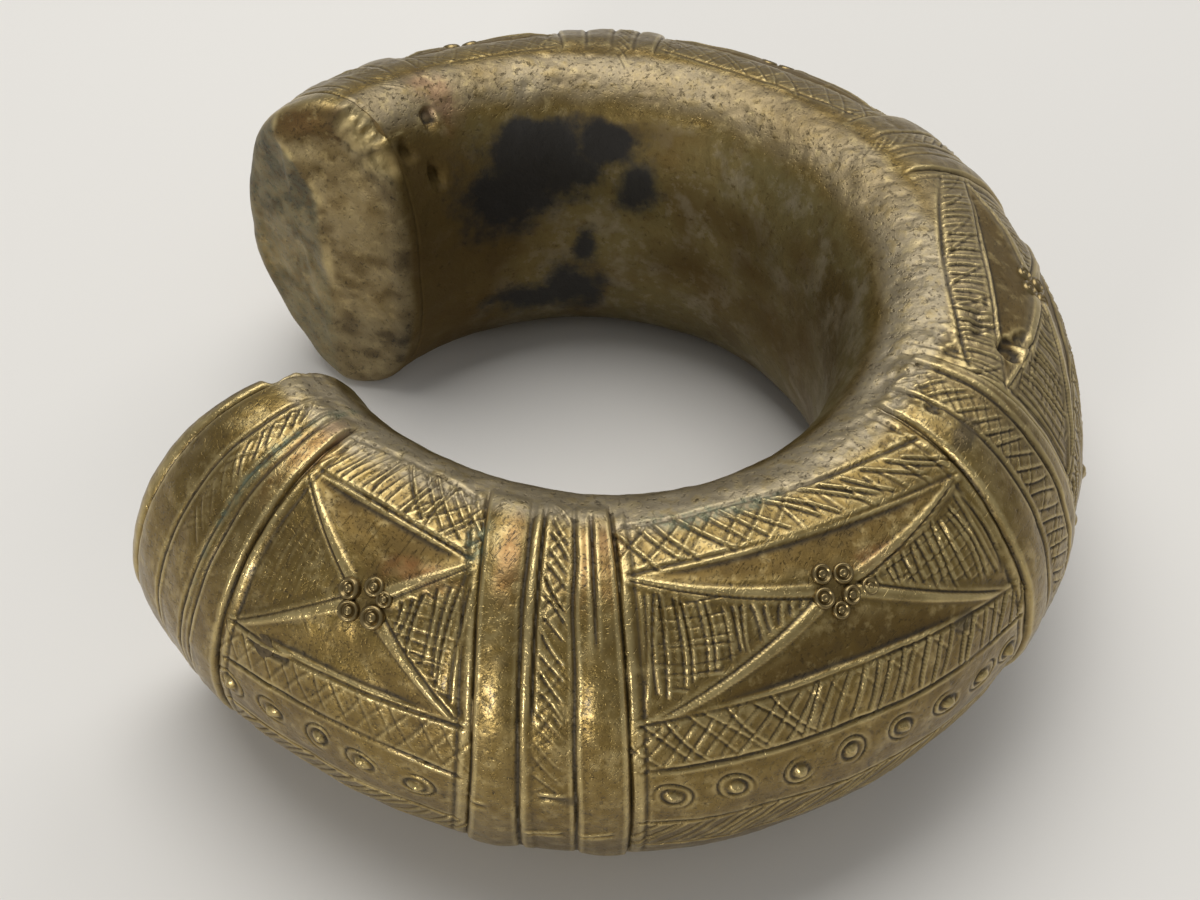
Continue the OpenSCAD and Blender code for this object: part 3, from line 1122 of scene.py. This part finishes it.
def cast_relief(ring, sizes, name, arc, s):
    """The relief of one piece of the casting."""
    relief = Relief(ring, sizes, arc, s)
    relief.unevenness()
    relief.ribs()
    if name in PANELS:
        relief.panel(PANELS[name])
    for start, end, height in ROUND_RIBS:
        if start.mean > np.min(arc) - 2 and end.mean < np.max(arc) + 2:
            relief.rounded(start, end, height)
    for start, end, low in HATCHED_RIBS:
        if start > np.min(arc) and end < np.max(arc):
            relief.rounded(straight(start - 0.3), straight(end + 0.3), 0.12)
            relief.hatched_rib(start, end, low)
    for first_arc, first_s, last_arc, last_s, depth, width in SCRATCHES:
        relief.stroke((first_arc, first_s), (last_arc, last_s), depth, width)
    relief.scars()
    return relief


def ring_piece(name, start, end, material):
    """One stretch of the casting between two edges, a closed shell with its relief."""
    shape, sizes = settings().ring, settings().relief
    ring = Ring(shape)
    rows = section_rows(ring)
    run = EDGES[end].mean - EDGES[start].mean
    columns = int(round(run / shape.column)) + 1
    t = np.linspace(0, 1, columns)[:, None]
    s = rows[None, :]
    arc = EDGES[start].at(s) * (1 - t) + EDGES[end].at(s) * t
    relief = cast_relief(ring, sizes, name, arc, s)
    normal = ring.normal(relief.arc, relief.s)
    points = settled(relief.points + normal * relief.height[..., None])

    outer, column, row = new_grid(name, columns, len(rows))
    place_points(outer, points[column, row])
    write_marks(outer, relief_marks(relief), column, row)
    group_ends(outer, column, columns - 1)

    inner, column, row = new_grid(name + "_inner", INNER_COLUMNS, len(rows))
    picked = np.rint(np.linspace(0, columns - 1, INNER_COLUMNS)).astype(int)
    inside = settled(relief.points[picked] - normal[picked] * shape.wall / MM)
    place_points(inner, inside[column, row])
    write_marks(inner, {"hollow": np.full((INNER_COLUMNS, len(rows)), 0.6)}, column, row)
    group_ends(inner, column, INNER_COLUMNS - 1)

    piece = join([outer, inner])
    close_tube(piece)
    finish_piece(piece, material, "cast_brass", "cast_body")


# Finishes


class Value:
    """A number in a finish's nodes. Sums with it add the nodes that work them out."""

    def __init__(self, nodes, socket):
        self.nodes, self.socket = nodes, socket

    def math(self, operation, first, second):
        """A node that works out one sum."""
        return self.nodes.value("ShaderNodeMath", {"operation": operation}, {0: first, 1: second})

    def __add__(self, other):
        return self.math("ADD", self, other)

    __radd__ = __add__

    def __mul__(self, other):
        return self.math("MULTIPLY", self, other)

    __rmul__ = __mul__

    def __sub__(self, other):
        return self.math("SUBTRACT", self, other)

    def __rsub__(self, other):
        return self.math("SUBTRACT", other, self)

    def held(self):
        """The number kept between 0 and 1."""
        return self.nodes.value("ShaderNodeClamp", {}, {"Value": self})

    def step(self, low, high):
        """An even rise from 0 at low to 1 at high."""
        return self.nodes.value(
            "ShaderNodeMapRange",
            {"interpolation_type": "SMOOTHSTEP"},
            {"Value": self, "From Min": low, "From Max": high},
        )


class Finish:
    """A material and the nodes that make it."""

    def __init__(self, name):
        self.material = bpy.data.materials.new(name)
        self.material.use_nodes = True
        self.tree = self.material.node_tree
        self.tree.nodes.clear()
        output = self.tree.nodes.new("ShaderNodeOutputMaterial")
        self.shader = self.tree.nodes.new("ShaderNodeBsdfPrincipled")
        self.tree.links.new(self.shader.outputs["BSDF"], output.inputs["Surface"])
        self.place = self.node("ShaderNodeTexCoord", {}, {}).outputs["Object"]

    def node(self, kind, choices, inputs):
        """A node with its settings made first and its sockets then given values or links."""
        node = self.tree.nodes.new(kind)
        for name, choice in choices.items():
            setattr(node, name, choice)
        for name, given in inputs.items():
            self.feed(node.inputs[name], given)
        return node

    def feed(self, socket, given):
        """Links a socket, or gives it a value."""
        if isinstance(given, Value):
            given = given.socket
        if isinstance(given, bpy.types.NodeSocket):
            self.tree.links.new(given, socket)
        else:
            socket.default_value = given

    def value(self, kind, choices, inputs, output=0):
        """A node's output as a number to go on with."""
        return Value(self, self.node(kind, choices, inputs).outputs[output])

    def noise(self, size, detail=3.0, rough=0.55):
        """Cloudy values round 0.5, with clouds of the given size in mm."""
        return self.value(
            "ShaderNodeTexNoise",
            {},
            {"Vector": self.place, "Scale": 1000 / size, "Detail": detail, "Roughness": rough},
        )

    def streaks(self, width, stretch, turn):
        """Values round 0.5 drawn out into fine lines, with their width in mm and their direction."""
        drawn = self.node(
            "ShaderNodeMapping",
            {"vector_type": "TEXTURE"},
            {"Vector": self.place, "Rotation": turn, "Scale": (1, 1, stretch)},
        )
        inputs = {"Vector": drawn.outputs[0], "Scale": 1000 / width, "Detail": 1.0}
        return self.value("ShaderNodeTexNoise", {}, inputs)

    def mark(self, name):
        """A mark that the mesh carries."""
        return self.value("ShaderNodeAttribute", {"attribute_name": name}, {}, "Fac")

    def mix(self, share, first, second):
        """Two colours mixed by a share."""
        node = self.node("ShaderNodeMix", {"data_type": "RGBA"}, {0: share})
        for index, given in ((6, first), (7, second)):
            linked = isinstance(given, bpy.types.NodeSocket)
            self.feed(node.inputs[index], given if linked else (*given, 1))
        return node.outputs[2]

    def bump(self, height, distance):
        """A normal raised by a height times a distance in mm."""
        inputs = {"Height": height, "Distance": distance * MM, "Strength": 1.0}
        return self.node("ShaderNodeBump", {}, inputs).outputs[0]

    def done(self, **sockets):
        """The material, with its shader's sockets fed."""
        for name, given in sockets.items():
            self.feed(self.shader.inputs[name.replace("_", " ")], given)
        return self.material


def kept(name, make):
    """The finish of that name, made the first time it is asked for."""
    return bpy.data.materials.get(name) or make(name)


def aged_brass(name):
    """Chased brass, brown and dark in its hollows as patina and as painted shade, rubbed bright on its
    crests and grey on its rim.
    """
    hue = settings().finish
    metal = Finish(name)
    cloud, patch, blot = metal.noise(14, 4), metal.noise(5, 4, 0.6), metal.noise(2.4, 4, 0.65)
    speck, grain = metal.noise(0.9, 3, 0.6), metal.noise(0.35, 2)
    crest, hollow, brown = metal.mark("crest"), metal.mark("hollow"), metal.mark("brown")
    bare, wrist = metal.mark("bare"), metal.mark("wrist")
    scratch = metal.streaks(0.3, 12, (0.9, 0.4, 0.3)).step(0.62, 0.74)
    scratch = scratch + metal.streaks(0.3, 9, (-0.8, 1.1, 0.2)).step(0.62, 0.74)
    scratch = scratch * (1 - wrist) * (1 - bare)
    fleck = metal.streaks(0.55, 2.2, (0.5, -0.7, 0.9)).step(0.6, 0.72) * (1 - wrist)

    tone = metal.mix((cloud * 1.5 - 0.3).held(), hue.brass, hue.brown)
    # Olive on the wrist side, its darkness partly painted shade of the ring's inside
    tone = metal.mix((wrist * (patch * 0.8 + 0.5)).held(), tone, hue.wrist)
    tone = metal.mix(wrist * cloud.step(0.44, 0.6) * 0.6, tone, hue.brown)
    tone = metal.mix(wrist * patch.step(0.48, 0.66) * 0.5, tone, hue.grey)
    tone = metal.mix(wrist * blot.step(0.46, 0.34) * 0.4, tone, hue.grey)
    # Grey on the bare rim and the far side, lightened as painted reflection
    tone = metal.mix((bare * (patch * 0.6 + 0.55)).held(), tone, hue.grey)
    tone = metal.mix(bare * blot.step(0.5, 0.66) * 0.4, tone, hue.worn)
    tone = metal.mix((brown * (patch * 0.8 + 0.5)).held() * 0.9, tone, hue.brown)
    tone = metal.mix(metal.mark("copper") * 0.36 * patch.step(0.3, 0.6), tone, hue.copper)
    tone = metal.mix((speck.step(0.52, 0.75) * 0.3 + blot.step(0.52, 0.7) * 0.45).held(), tone, hue.brown)
    tone = metal.mix(blot.step(0.48, 0.32) * 0.3 * (1 - wrist), tone, hue.worn)
    pit = speck.step(0.58, 0.7) * (bare.step(0.4, 0.8) + wrist * 0.4)
    # Dark: patina and painted shade from the hollow mark, with specks, scratches, flecks and pits
    dark = hollow * 0.95 + speck.step(0.62, 0.8) * 0.3 * (1 - crest)
    dark = dark + scratch * 0.3 + fleck * 0.36 + pit * 0.4
    tone = metal.mix(dark.held() * 0.88, tone, hue.dirt_and_shade)
    tone = metal.mix((crest * (patch * 1.4 + 0.1)).held() * 0.75, tone, hue.worn)
    tone = metal.mix(metal.mark("green") * 0.6 * speck.step(0.35, 0.6), tone, hue.verdigris)
    tone = metal.mix(metal.mark("iron") * 0.75, tone, hue.iron)
    # Black patches on the wrist side, with ragged edges
    black_patch = metal.mark("black_patch") + (cloud - 0.5) * 0.9 + (patch - 0.5) * 0.8 + (speck - 0.5) * 0.25
    black_patch = black_patch.step(0.28, 0.72) * metal.mark("black_patch").step(0.0, 0.35)
    tone = metal.mix(black_patch * 0.95, tone, hue.black_patch)

    rough = 0.25 + 0.22 * patch + 0.2 * hollow + 0.12 * bare + 0.14 * wrist
    rough = rough + 0.1 * black_patch + 0.2 * brown - 0.06 * crest
    gloss = 0.19 * (1 - wrist) * (1 - brown) - 0.16 * bare - 0.3 * hollow
    height = grain * 0.12 + speck * 0.2 + blot * 1.25 - scratch * 0.3 - fleck * 0.25 - pit * 0.5
    return metal.done(
        Base_Color=tone,
        Metallic=(0.86 - 0.5 * hollow - 0.7 * black_patch).held(),
        Roughness=rough.held(),
        Coat_Weight=gloss.held(),
        Coat_Roughness=0.22,
        Normal=metal.bump(height, 0.13),
    )


def worn_brass(name):
    """Brass of the pellets, rubbed bright on top, with painted shadow round their feet and dark in their
    punched rings.
    """
    hue = settings().finish
    metal = Finish(name)
    patch, speck = metal.noise(1.6, 3), metal.noise(0.5, 3)
    hollow = metal.mark("hollow")
    tone = metal.mix((patch * 1.4 - 0.05).held(), hue.worn, hue.brass)
    # Darker at the pellets' feet as painted shadow, and in their punched rings
    tone = metal.mix((hollow * 0.5 + speck.step(0.58, 0.76) * 0.35).held(), tone, hue.dirt_and_shade)
    return metal.done(
        Base_Color=tone,
        Metallic=(0.92 - 0.5 * hollow).held(),
        Roughness=(0.32 + 0.2 * patch + 0.2 * hollow).held(),
        Normal=metal.bump(speck, 0.06),
    )


def fired_clay(name):
    """Coarse fired clay with dark grit."""
    hue = settings().finish
    clay = Finish(name)
    cloud, grit = clay.noise(8, 4), clay.noise(0.8, 3, 0.7)
    tone = clay.mix((cloud * 1.4 - 0.2).held(), hue.clay, hue.brown)
    tone = clay.mix(grit.step(0.55, 0.7) * 0.6, tone, hue.dirt_and_shade)
    return clay.done(Base_Color=tone, Roughness=(0.85 + 0.1 * grit).held(), Normal=clay.bump(grit, 0.3))


def dark_iron(name):
    """Iron with a dark skin and brown rust."""
    hue = settings().finish
    iron = Finish(name)
    cloud, speck = iron.noise(2.2, 4), iron.noise(0.5, 3)
    tone = iron.mix(cloud.step(0.42, 0.7) * 0.6, hue.iron, hue.brown)
    tone = iron.mix(speck.step(0.5, 0.75) * 0.6, tone, hue.dirt_and_shade)
    return iron.done(
        Base_Color=tone,
        Metallic=(0.8 - 0.5 * cloud.step(0.4, 0.7)).held(),
        Roughness=(0.45 + 0.25 * speck).held(),
        Normal=iron.bump(speck, 0.08),
    )


def pale_floor(name):
    """Pale matt floor that keeps the shadow."""
    hue = settings().finish
    floor = Finish(name)
    cloud = floor.noise(180, 3)
    tone = floor.mix(cloud * 0.25, hue.floor, tuple(part * 0.9 for part in hue.floor))
    return floor.done(Base_Color=tone, Roughness=(0.75 + 0.1 * cloud).held())


# Operators


class MANILLA_OT_casting(bpy.types.Operator):
    """Builds the casting's collars, ribs and panels"""

    bl_idname = "manilla.casting"
    bl_label = "Casting"

    def execute(self, context):
        for name, start, end in PIECES:
            ring_piece(name, start, end, kept("aged_brass", aged_brass))
        return {"FINISHED"}


# Knocks on the edges of the end plates: arc, s, reach and depth
CHIPS = {
    "near_end_cap": ((0.2, -1.5, 2.6, 1.3), (0.1, -4.5, 1.6, 0.9)),
    "far_end_cap": ((294.9, -7.5, 3.2, 1.5), (294.6, -12.5, 2.6, 1.2), (294.8, -3.5, 2.2, 0.8)),
}


class PlateFace:
    """Face of an end plate: its middle, the ways out of the gap and away from the wrist, and its fold."""

    def __init__(self, ring, rows, outer_arc, inner_arc, folded):
        self.folded = folded
        self.slope = 0.26 if folded else 0.02
        self.side = np.sign(outer_arc - inner_arc)
        self.flat = ring.at(np.float64(outer_arc), rows)
        self.middle = np.mean(self.flat, axis=0)
        crown, behind = [ring.at(np.float64(arc), np.float64(0)) for arc in (outer_arc, inner_arc)]
        self.outward = (crown - behind) / np.linalg.norm(crown - behind)
        self.outside = np.cross(self.outward, np.array([0, 0, 1])) * self.side

    def fold(self, places):
        """Distance from the face's fold, which leans outwards in its upper half."""
        out = np.sum((places - self.middle) * self.outside, -1)
        high = (places - self.middle)[..., 2]
        return out + 5.0 - 7 * smooth(2, 20, high) + 0.6 * spread(places, 5, 46)

    def roof(self, fold):
        """Height of the face, which falls away from its fold, less on the wrist's side, in mm."""
        away = np.sqrt(np.square(fold) + 0.2)
        return self.slope * (12 - 0.75 * away - 0.25 * fold)

    def marks(self, places, fold):
        """Marks on the face: dark grey beyond the fold, where on the far end it is also painted shade of
        that facet, mottled before it, worn along it.
        """
        high = (places - self.middle)[..., 2]
        mottle = 0.6 * spread(places, 2.4, 47) + 0.4 * spread(places, 1.0, 48)
        broad = spread(places, 6, 50)
        if self.folded:
            beyond = smooth(-0.4, 0.6, fold + 0.5 * mottle)
        else:
            beyond = 0.5 + 0.5 * spread(places, 9, 49)
        ridge = bell(fold + 0.5 * mottle, 0.7) * smooth(-0.2, 0.4, mottle + 0.3 * broad)
        ridge = 0.9 * ridge * smooth(-4, 2, high)
        streak = 1 - smooth(0.2, 1.3, np.abs(fold + 0.9 + 1.5 * broad))
        streak = streak * (1 - smooth(-6, 1, high)) * smooth(-17, -9, high)
        streak = 0.6 * streak * smooth(-0.6, 0.3, mottle)
        low = smooth(13, 19, -high) + smooth(7, 11, -fold)
        top = smooth(13, 17, high)
        # Darker beyond the fold: a dark grey tone, and on the far end painted shade of its shadowed facet
        slate_and_shade = 0.5 * beyond * smooth(-14, 4, high)
        values = {
            "bare": np.minimum(0.42 - 0.2 * beyond + 0.4 * mottle - 0.4 * top, 0.5),
            "brown": 0.35 - 0.3 * beyond - 0.5 * mottle + 0.3 * broad + 0.7 * top,
            "hollow": 0.12 + slate_and_shade + 0.25 * np.abs(mottle) + 0.4 * low + 0.1 * top,
            "green": 0.4 * beyond,
            "copper": 0.5 * top,
            "crest": 0.12 + 0.3 * mottle - 0.3 * top + streak + ridge,
        }
        none = np.zeros(fold.shape)
        return {key: np.clip(values.get(key, none), 0, 1) for key in MARKS}


def worn_edge(relief, end_arc, inner_arc):
    """Rounds a plate's edge, and gives how far over the rounding each point lies."""
    from_end = np.abs(relief.past(end_arc))
    span = np.abs(end_arc - inner_arc) * RADIAN * relief.radius
    worn = np.minimum(2.6 + 0.7 * spread(relief.points, 6, 41), 0.95 * span)
    fall = np.clip(1 - from_end / worn, 0, 1)
    relief.height -= worn * (1 - np.sqrt(np.clip(1 - fall**2, 0, 1)))
    return fall


def knocks(relief, chips):
    """Depth of the chips on a plate's edge, and the share of it that is broken."""
    depths, broken = np.zeros(relief.s.shape), np.zeros(relief.s.shape)
    for place, s, reach, depth in chips:
        away = np.hypot(relief.past(place), relief.s - s)
        away *= 1 + 0.4 * spread(relief.points, 1.5, 43)
        chip = 1 - smooth(0.3 * reach, reach, away)
        depths += depth * chip * (1 + 0.5 * spread(relief.points, 0.9, 51))
        broken = np.maximum(broken, chip)
    return depths, broken


def close_plate(piece):
    """Closes the seam round a plate and the holes in the middle of its face and its back."""
    bpy.ops.object.mode_set(mode="EDIT")
    bpy.ops.mesh.select_all(action="SELECT")
    bpy.ops.mesh.remove_doubles(threshold=1e-7)
    bpy.ops.mesh.select_all(action="DESELECT")
    bpy.ops.mesh.select_non_manifold()
    bpy.ops.mesh.edge_face_add()
    bpy.ops.mesh.select_all(action="SELECT")
    bpy.ops.mesh.fill_holes(sides=0)
    bpy.ops.mesh.normals_make_consistent(inside=False)
    bpy.ops.object.mode_set(mode="OBJECT")


def end_plate(name, node, outer_arc, inner_arc):
    """An end plate with a round, knocked edge and an uneven face, which is folded on the far end."""
    sizes = settings().relief
    ring = Ring(settings().ring)
    rows = section_rows(ring)
    plate = PlateFace(ring, rows, outer_arc, inner_arc, node == "far_end_cap")

    # The edge, from the face back to the seam
    t = np.linspace(0, 1, PLATE_DEPTHS)[:, None] ** 1.4
    end_arc = outer_arc + plate.side * plate.roof(plate.fold(plate.flat)) / (RADIAN * ring.radius(rows))
    arc = end_arc + (inner_arc - end_arc) * t
    relief = Relief(ring, sizes, arc, rows[None, :])
    relief.unevenness()
    relief.height += sizes.rib / MM * relief.face * smooth(-0.3, 0.8, np.abs(relief.arc - inner_arc))
    relief.cut(relief.past(inner_arc), 0.2 * sizes.groove / MM, 0.23)
    fall = worn_edge(relief, end_arc, inner_arc)
    chips, broken = knocks(relief, CHIPS[node])
    normal = ring.normal(relief.arc, relief.s)
    whole_rim = settled(relief.points[0] + normal[0] * relief.height[0, :, None])
    relief.height -= chips
    points = settled(relief.points + normal * relief.height[..., None])

    # The face, in rings that shrink towards its middle, and the back that closes the plate
    shrink = np.linspace(1, 0.02, FACE_RINGS)[:, None]
    rim = whole_rim - plate.outward * plate.roof(plate.fold(whole_rim))[:, None]
    face = plate.middle + (rim - plate.middle) * shrink[..., None]
    fold = plate.fold(face)
    dents = 0.3 * spread(face, 7, 44) + 0.12 * spread(face, 2, 45)
    rise = plate.roof(fold) + dents * smooth(0, 0.15, 1 - shrink)
    face = face + plate.outward * rise[..., None]
    face += (points[0] - whole_rim) * smooth(0.86, 1, shrink)[..., None]
    back = np.mean(points[-1], axis=0)
    closing = back + (points[-1] - back) * np.linspace(1, 0.02, BACK_RINGS)[:, None, None]
    whole = np.concatenate([face[:0:-1], points, closing[1:]])

    edge_marks = relief_marks(relief)
    face_marks = plate.marks(face, fold)
    rim_marks = plate.marks(points, plate.fold(points))
    over = smooth(0.05, 0.7, fall)
    hidden = np.zeros((BACK_RINGS - 1, len(rows)))
    marks = {}
    for key in MARKS:
        shade = edge_marks[key] * (1 - over) + rim_marks[key] * over
        if key == "crest":
            shade = np.maximum(shade, broken)
        marks[key] = np.concatenate([face_marks[key][:0:-1], shade, hidden])

    piece, column, row = new_grid(name, len(whole), len(rows))
    place_points(piece, whole[column, row])
    write_marks(piece, marks, column, row)
    close_plate(piece)
    finish_piece(piece, kept("aged_brass", aged_brass), "cap_brass", node)


class MANILLA_OT_end_plates(bpy.types.Operator):
    """Builds the two end plates with their knocked edges"""

    bl_idname = "manilla.end_plates"
    bl_label = "End plates"

    def execute(self, context):
        end_plate("near_end_plate", "near_end_cap", 0.0, NEAR_SEAM)
        end_plate("far_end_plate", "far_end_cap", FULL_ARC, FAR_SEAM)
        return {"FINISHED"}


def turned(name, outline, steps):
    """A closed body of revolution round z from an outline of radius and height in mm."""
    mesh = bpy.data.meshes.new(name)
    corners = [(r * MM, 0, z * MM) for r, z in outline]
    mesh.from_pydata(corners, [(i, i + 1) for i in range(len(corners) - 1)], [])
    piece = bpy.data.objects.new(name, mesh)
    bpy.context.collection.objects.link(piece)
    pick(piece)
    bpy.ops.object.mode_set(mode="EDIT")
    bpy.ops.mesh.select_all(action="SELECT")
    bpy.ops.mesh.spin(steps=steps, angle=2 * math.pi, center=(0, 0, 0), axis=(0, 0, 1))
    bpy.ops.mesh.select_all(action="SELECT")
    bpy.ops.mesh.remove_doubles(threshold=1e-6)
    bpy.ops.mesh.normals_make_consistent(inside=False)
    bpy.ops.object.mode_set(mode="OBJECT")
    return piece


def copy_to(piece, name, place):
    """A copy of a body with its own mesh, set in place."""
    mesh = piece.data.copy()
    mesh.transform(place)
    body = bpy.data.objects.new(name, mesh)
    bpy.context.collection.objects.link(body)
    return body


def pellet_body(diameter):
    """One pellet: a low dome with a punched ring and a dimple."""
    r = diameter / 2
    outline = (
        (0.0, -1.3),
        (r * 0.96, -1.3),
        (r, -0.35),
        (r, 0.25),
        (r * 0.97, 0.5),
        (r * 0.88, 0.74),
        (r * 0.76, 0.86),
        (r * 0.66, 0.8),
        (r * 0.58, 0.5),
        (r * 0.46, 0.46),
        (r * 0.37, 0.72),
        (r * 0.24, 0.84),
        (r * 0.12, 0.76),
        (0.0, 0.66),
    )
    piece = turned("pellet", outline, 28)
    depth = np.array([v.co.z for v in piece.data.vertices]) / MM
    away = np.array([math.hypot(v.co.x, v.co.y) for v in piece.data.vertices]) / MM
    # Marked for darkening: painted shadow round the pellet's foot, and its punched ring
    low = np.maximum(1 - smooth(0.2, 0.7, depth), (depth < 0.6) * (away < r * 0.62))
    layer = piece.data.attributes.new("hollow", "FLOAT", "POINT")
    layer.data.foreach_set("value", low.astype(np.float32))
    return piece


def pellet_places(panel, ring, pitch):
    """Arc, s and size of each pellet: those read from the photograph, or four in a square."""
    if panel.pellets:
        return panel.pellets
    arc, s = panel.rosette
    turn = pitch / 2 / (RADIAN * float(ring.radius(np.float64(s))))
    return [(arc + x * turn, s + y * pitch / 2, 1.0) for x in (-1, 1) for y in (-1, 1)]


class MANILLA_OT_rosettes(bpy.types.Operator):
    """Builds the rosettes of punched pellets"""

    bl_idname = "manilla.rosettes"
    bl_label = "Rosettes"

    def execute(self, context):
        sizes = settings().relief
        ring = Ring(settings().ring)
        pellet = pellet_body(sizes.pellet / MM)
        for number, panel in enumerate(PANELS.values(), 1):
            hand = np.random.default_rng(sizes.seed + 100 + number)
            pellets = []
            for arc, s, size in pellet_places(panel, ring, sizes.pitch / MM):
                sink = hand.uniform(-0.5, -0.4) - (0 if panel.pellets else 0.34)
                tilt = Matrix.Rotation(hand.uniform(-0.15, 0.15), 4, "X")
                tilt = tilt @ Matrix.Rotation(hand.uniform(-0.15, 0.15), 4, "Y")
                size = Matrix.Scale(size * hand.uniform(0.95, 1.03), 4)
                set_in = Matrix.Translation((0, 0, sink * MM))
                place = ring.frame_at(arc, s) @ set_in @ tilt @ size
                pellets.append(copy_to(pellet, f"pellet_{number}", place))
            rosette = join(pellets)
            rosette.name = rosette.data.name = f"rosette_{number}_pellets"
            finish_piece(rosette, kept("worn_brass", worn_brass), "worn_brass", f"rosette_{number}")
        bpy.data.objects.remove(pellet)
        return {"FINISHED"}


# Arc and s of the core pins
PIN_PLACES = ((26.6, 24.1), (105.1, 23.6), (165.4, 24), (222.6, 24), (269.4, 24))


class MANILLA_OT_pins(bpy.types.Operator):
    """Builds the iron core pins, filed off with the face"""

    bl_idname = "manilla.pins"
    bl_label = "Core pins"

    def execute(self, context):
        sizes = settings().relief
        ring = Ring(settings().ring)
        r = sizes.pin / MM / 2
        outline = (
            (0.0, -9),
            (r, -9),
            (r, -0.2),
            (r * 0.98, -0.1),
            (r * 0.9, -0.04),
            (r * 0.5, 0.0),
            (0.0, 0.0),
        )
        pin = turned("pin", outline, 24)
        pins = [copy_to(pin, "core_pin", ring.frame_at(arc, s)) for arc, s in PIN_PLACES]
        bpy.data.objects.remove(pin)
        piece = join(pins)
        piece.name = piece.data.name = "iron_pins"
        finish_piece(piece, kept("dark_iron", dark_iron), "pin_iron", "core_pins")
        return {"FINISHED"}


class MANILLA_OT_core(bpy.types.Operator):
    """Gives the clay core its finish"""

    bl_idname = "manilla.core"
    bl_label = "Clay core"

    def execute(self, context):
        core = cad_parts["clay_core"]
        core.data.materials.clear()
        core.data.materials.append(kept("fired_clay", fired_clay))
        return {"FINISHED"}


# Width of the floor and its gap under the ring, in metres
FLOOR_WIDTH = 30
FLOOR_GAP = 0.0001


def soft_light(name, place, size, power, kind="AREA"):
    """A soft light aimed at the ring, its place and its size in metres."""
    lamp = bpy.data.lights.new(name, kind)
    lamp.energy = power
    if kind == "AREA":
        lamp.shape, lamp.size = "SQUARE", size
    else:
        lamp.shadow_soft_size = size / 2
    light = bpy.data.objects.new(name, lamp)
    bpy.context.collection.objects.link(light)
    light.location = place
    light.rotation_mode = "QUATERNION"
    light.rotation_quaternion = (-Vector(place)).to_track_quat("-Z", "Y")
    return lamp


class MANILLA_OT_stage(bpy.types.Operator):
    """Sets the floor, the light and the camera"""

    bl_idname = "manilla.stage"
    bl_label = "Stage"

    def execute(self, context):
        scene = context.scene
        bpy.ops.object.select_all(action="DESELECT")
        bpy.ops.mesh.primitive_plane_add(size=FLOOR_WIDTH, location=(0, 0, REST_PLANE * MM - FLOOR_GAP))
        floor = context.object
        floor.name = floor.data.name = "floor"
        floor.data.materials.append(kept("pale_floor", pale_floor))

        world = bpy.data.worlds.new("studio")
        scene.world = world
        world.use_nodes = True
        sky = world.node_tree.nodes["Background"]
        sky.inputs["Color"].default_value = (0.93, 0.96, 1.0, 1)
        sky.inputs["Strength"].default_value = 0.36
        soft_light("ceiling", (-0.14, 0.22, 0.9), 0.7, 6.3)
        soft_light("lamp", (0.3, 0.5, 0.62), 0.5, 1.2)
        window = soft_light("window", (-0.59, -1.46, 0.26), 0.4, 78, "SPOT")
        window.spot_size, window.spot_blend = 14 * RADIAN, 1

        camera = bpy.data.cameras.new("camera")
        camera.lens, camera.sensor_width = 57.87, 36
        camera.clip_start, camera.clip_end = 0.01, 20
        eye = bpy.data.objects.new("camera", camera)
        context.collection.objects.link(eye)
        turn, rise, roll = 4.2 * RADIAN, 48.15 * RADIAN, 0.0217
        target, distance = Vector((2.18, -1.66, -9.72)) * MM, 0.26142
        back = Vector((math.sin(turn) * math.cos(rise), -math.cos(turn) * math.cos(rise), math.sin(rise)))
        eye.location = target + back * distance
        right = Vector((math.cos(turn), math.sin(turn), 0))
        up = back.cross(right)
        right_tilted = right * math.cos(roll) + up * math.sin(roll)
        up_tilted = up * math.cos(roll) - right * math.sin(roll)
        eye.rotation_mode = "QUATERNION"
        eye.rotation_quaternion = Matrix((right_tilted, up_tilted, back)).transposed().to_quaternion()
        scene.camera = eye
        scene.view_settings.view_transform = "Standard"
        return {"FINISHED"}


class MANILLA_PT_sidebar(bpy.types.Panel):
    """Lists the steps of the build"""

    bl_idname = "MANILLA_PT_sidebar"
    bl_label = "Manilla"
    bl_space_type = "VIEW_3D"
    bl_region_type = "UI"
    bl_category = "Manilla"

    def draw(self, context):
        for step in STEPS:
            self.layout.operator(step.bl_idname)


STEPS = (
    MANILLA_OT_stage,
    MANILLA_OT_casting,
    MANILLA_OT_end_plates,
    MANILLA_OT_rosettes,
    MANILLA_OT_pins,
    MANILLA_OT_core,
)
CLASSES = (RingShape, ReliefSizes, Finishes, Manilla, *STEPS, MANILLA_PT_sidebar)


def register():
    for item in CLASSES:
        bpy.utils.register_class(item)
    bpy.types.Scene.manilla = PointerProperty(type=Manilla)


def unregister():
    del bpy.types.Scene.manilla
    for item in reversed(CLASSES):
        bpy.utils.unregister_class(item)


def main():
    register()
    bpy.ops.manilla.stage()
    bpy.ops.manilla.casting()
    bpy.ops.manilla.end_plates()
    bpy.ops.manilla.rosettes()
    bpy.ops.manilla.pins()
    bpy.ops.manilla.core()


if __name__ == "__main__":
    main()
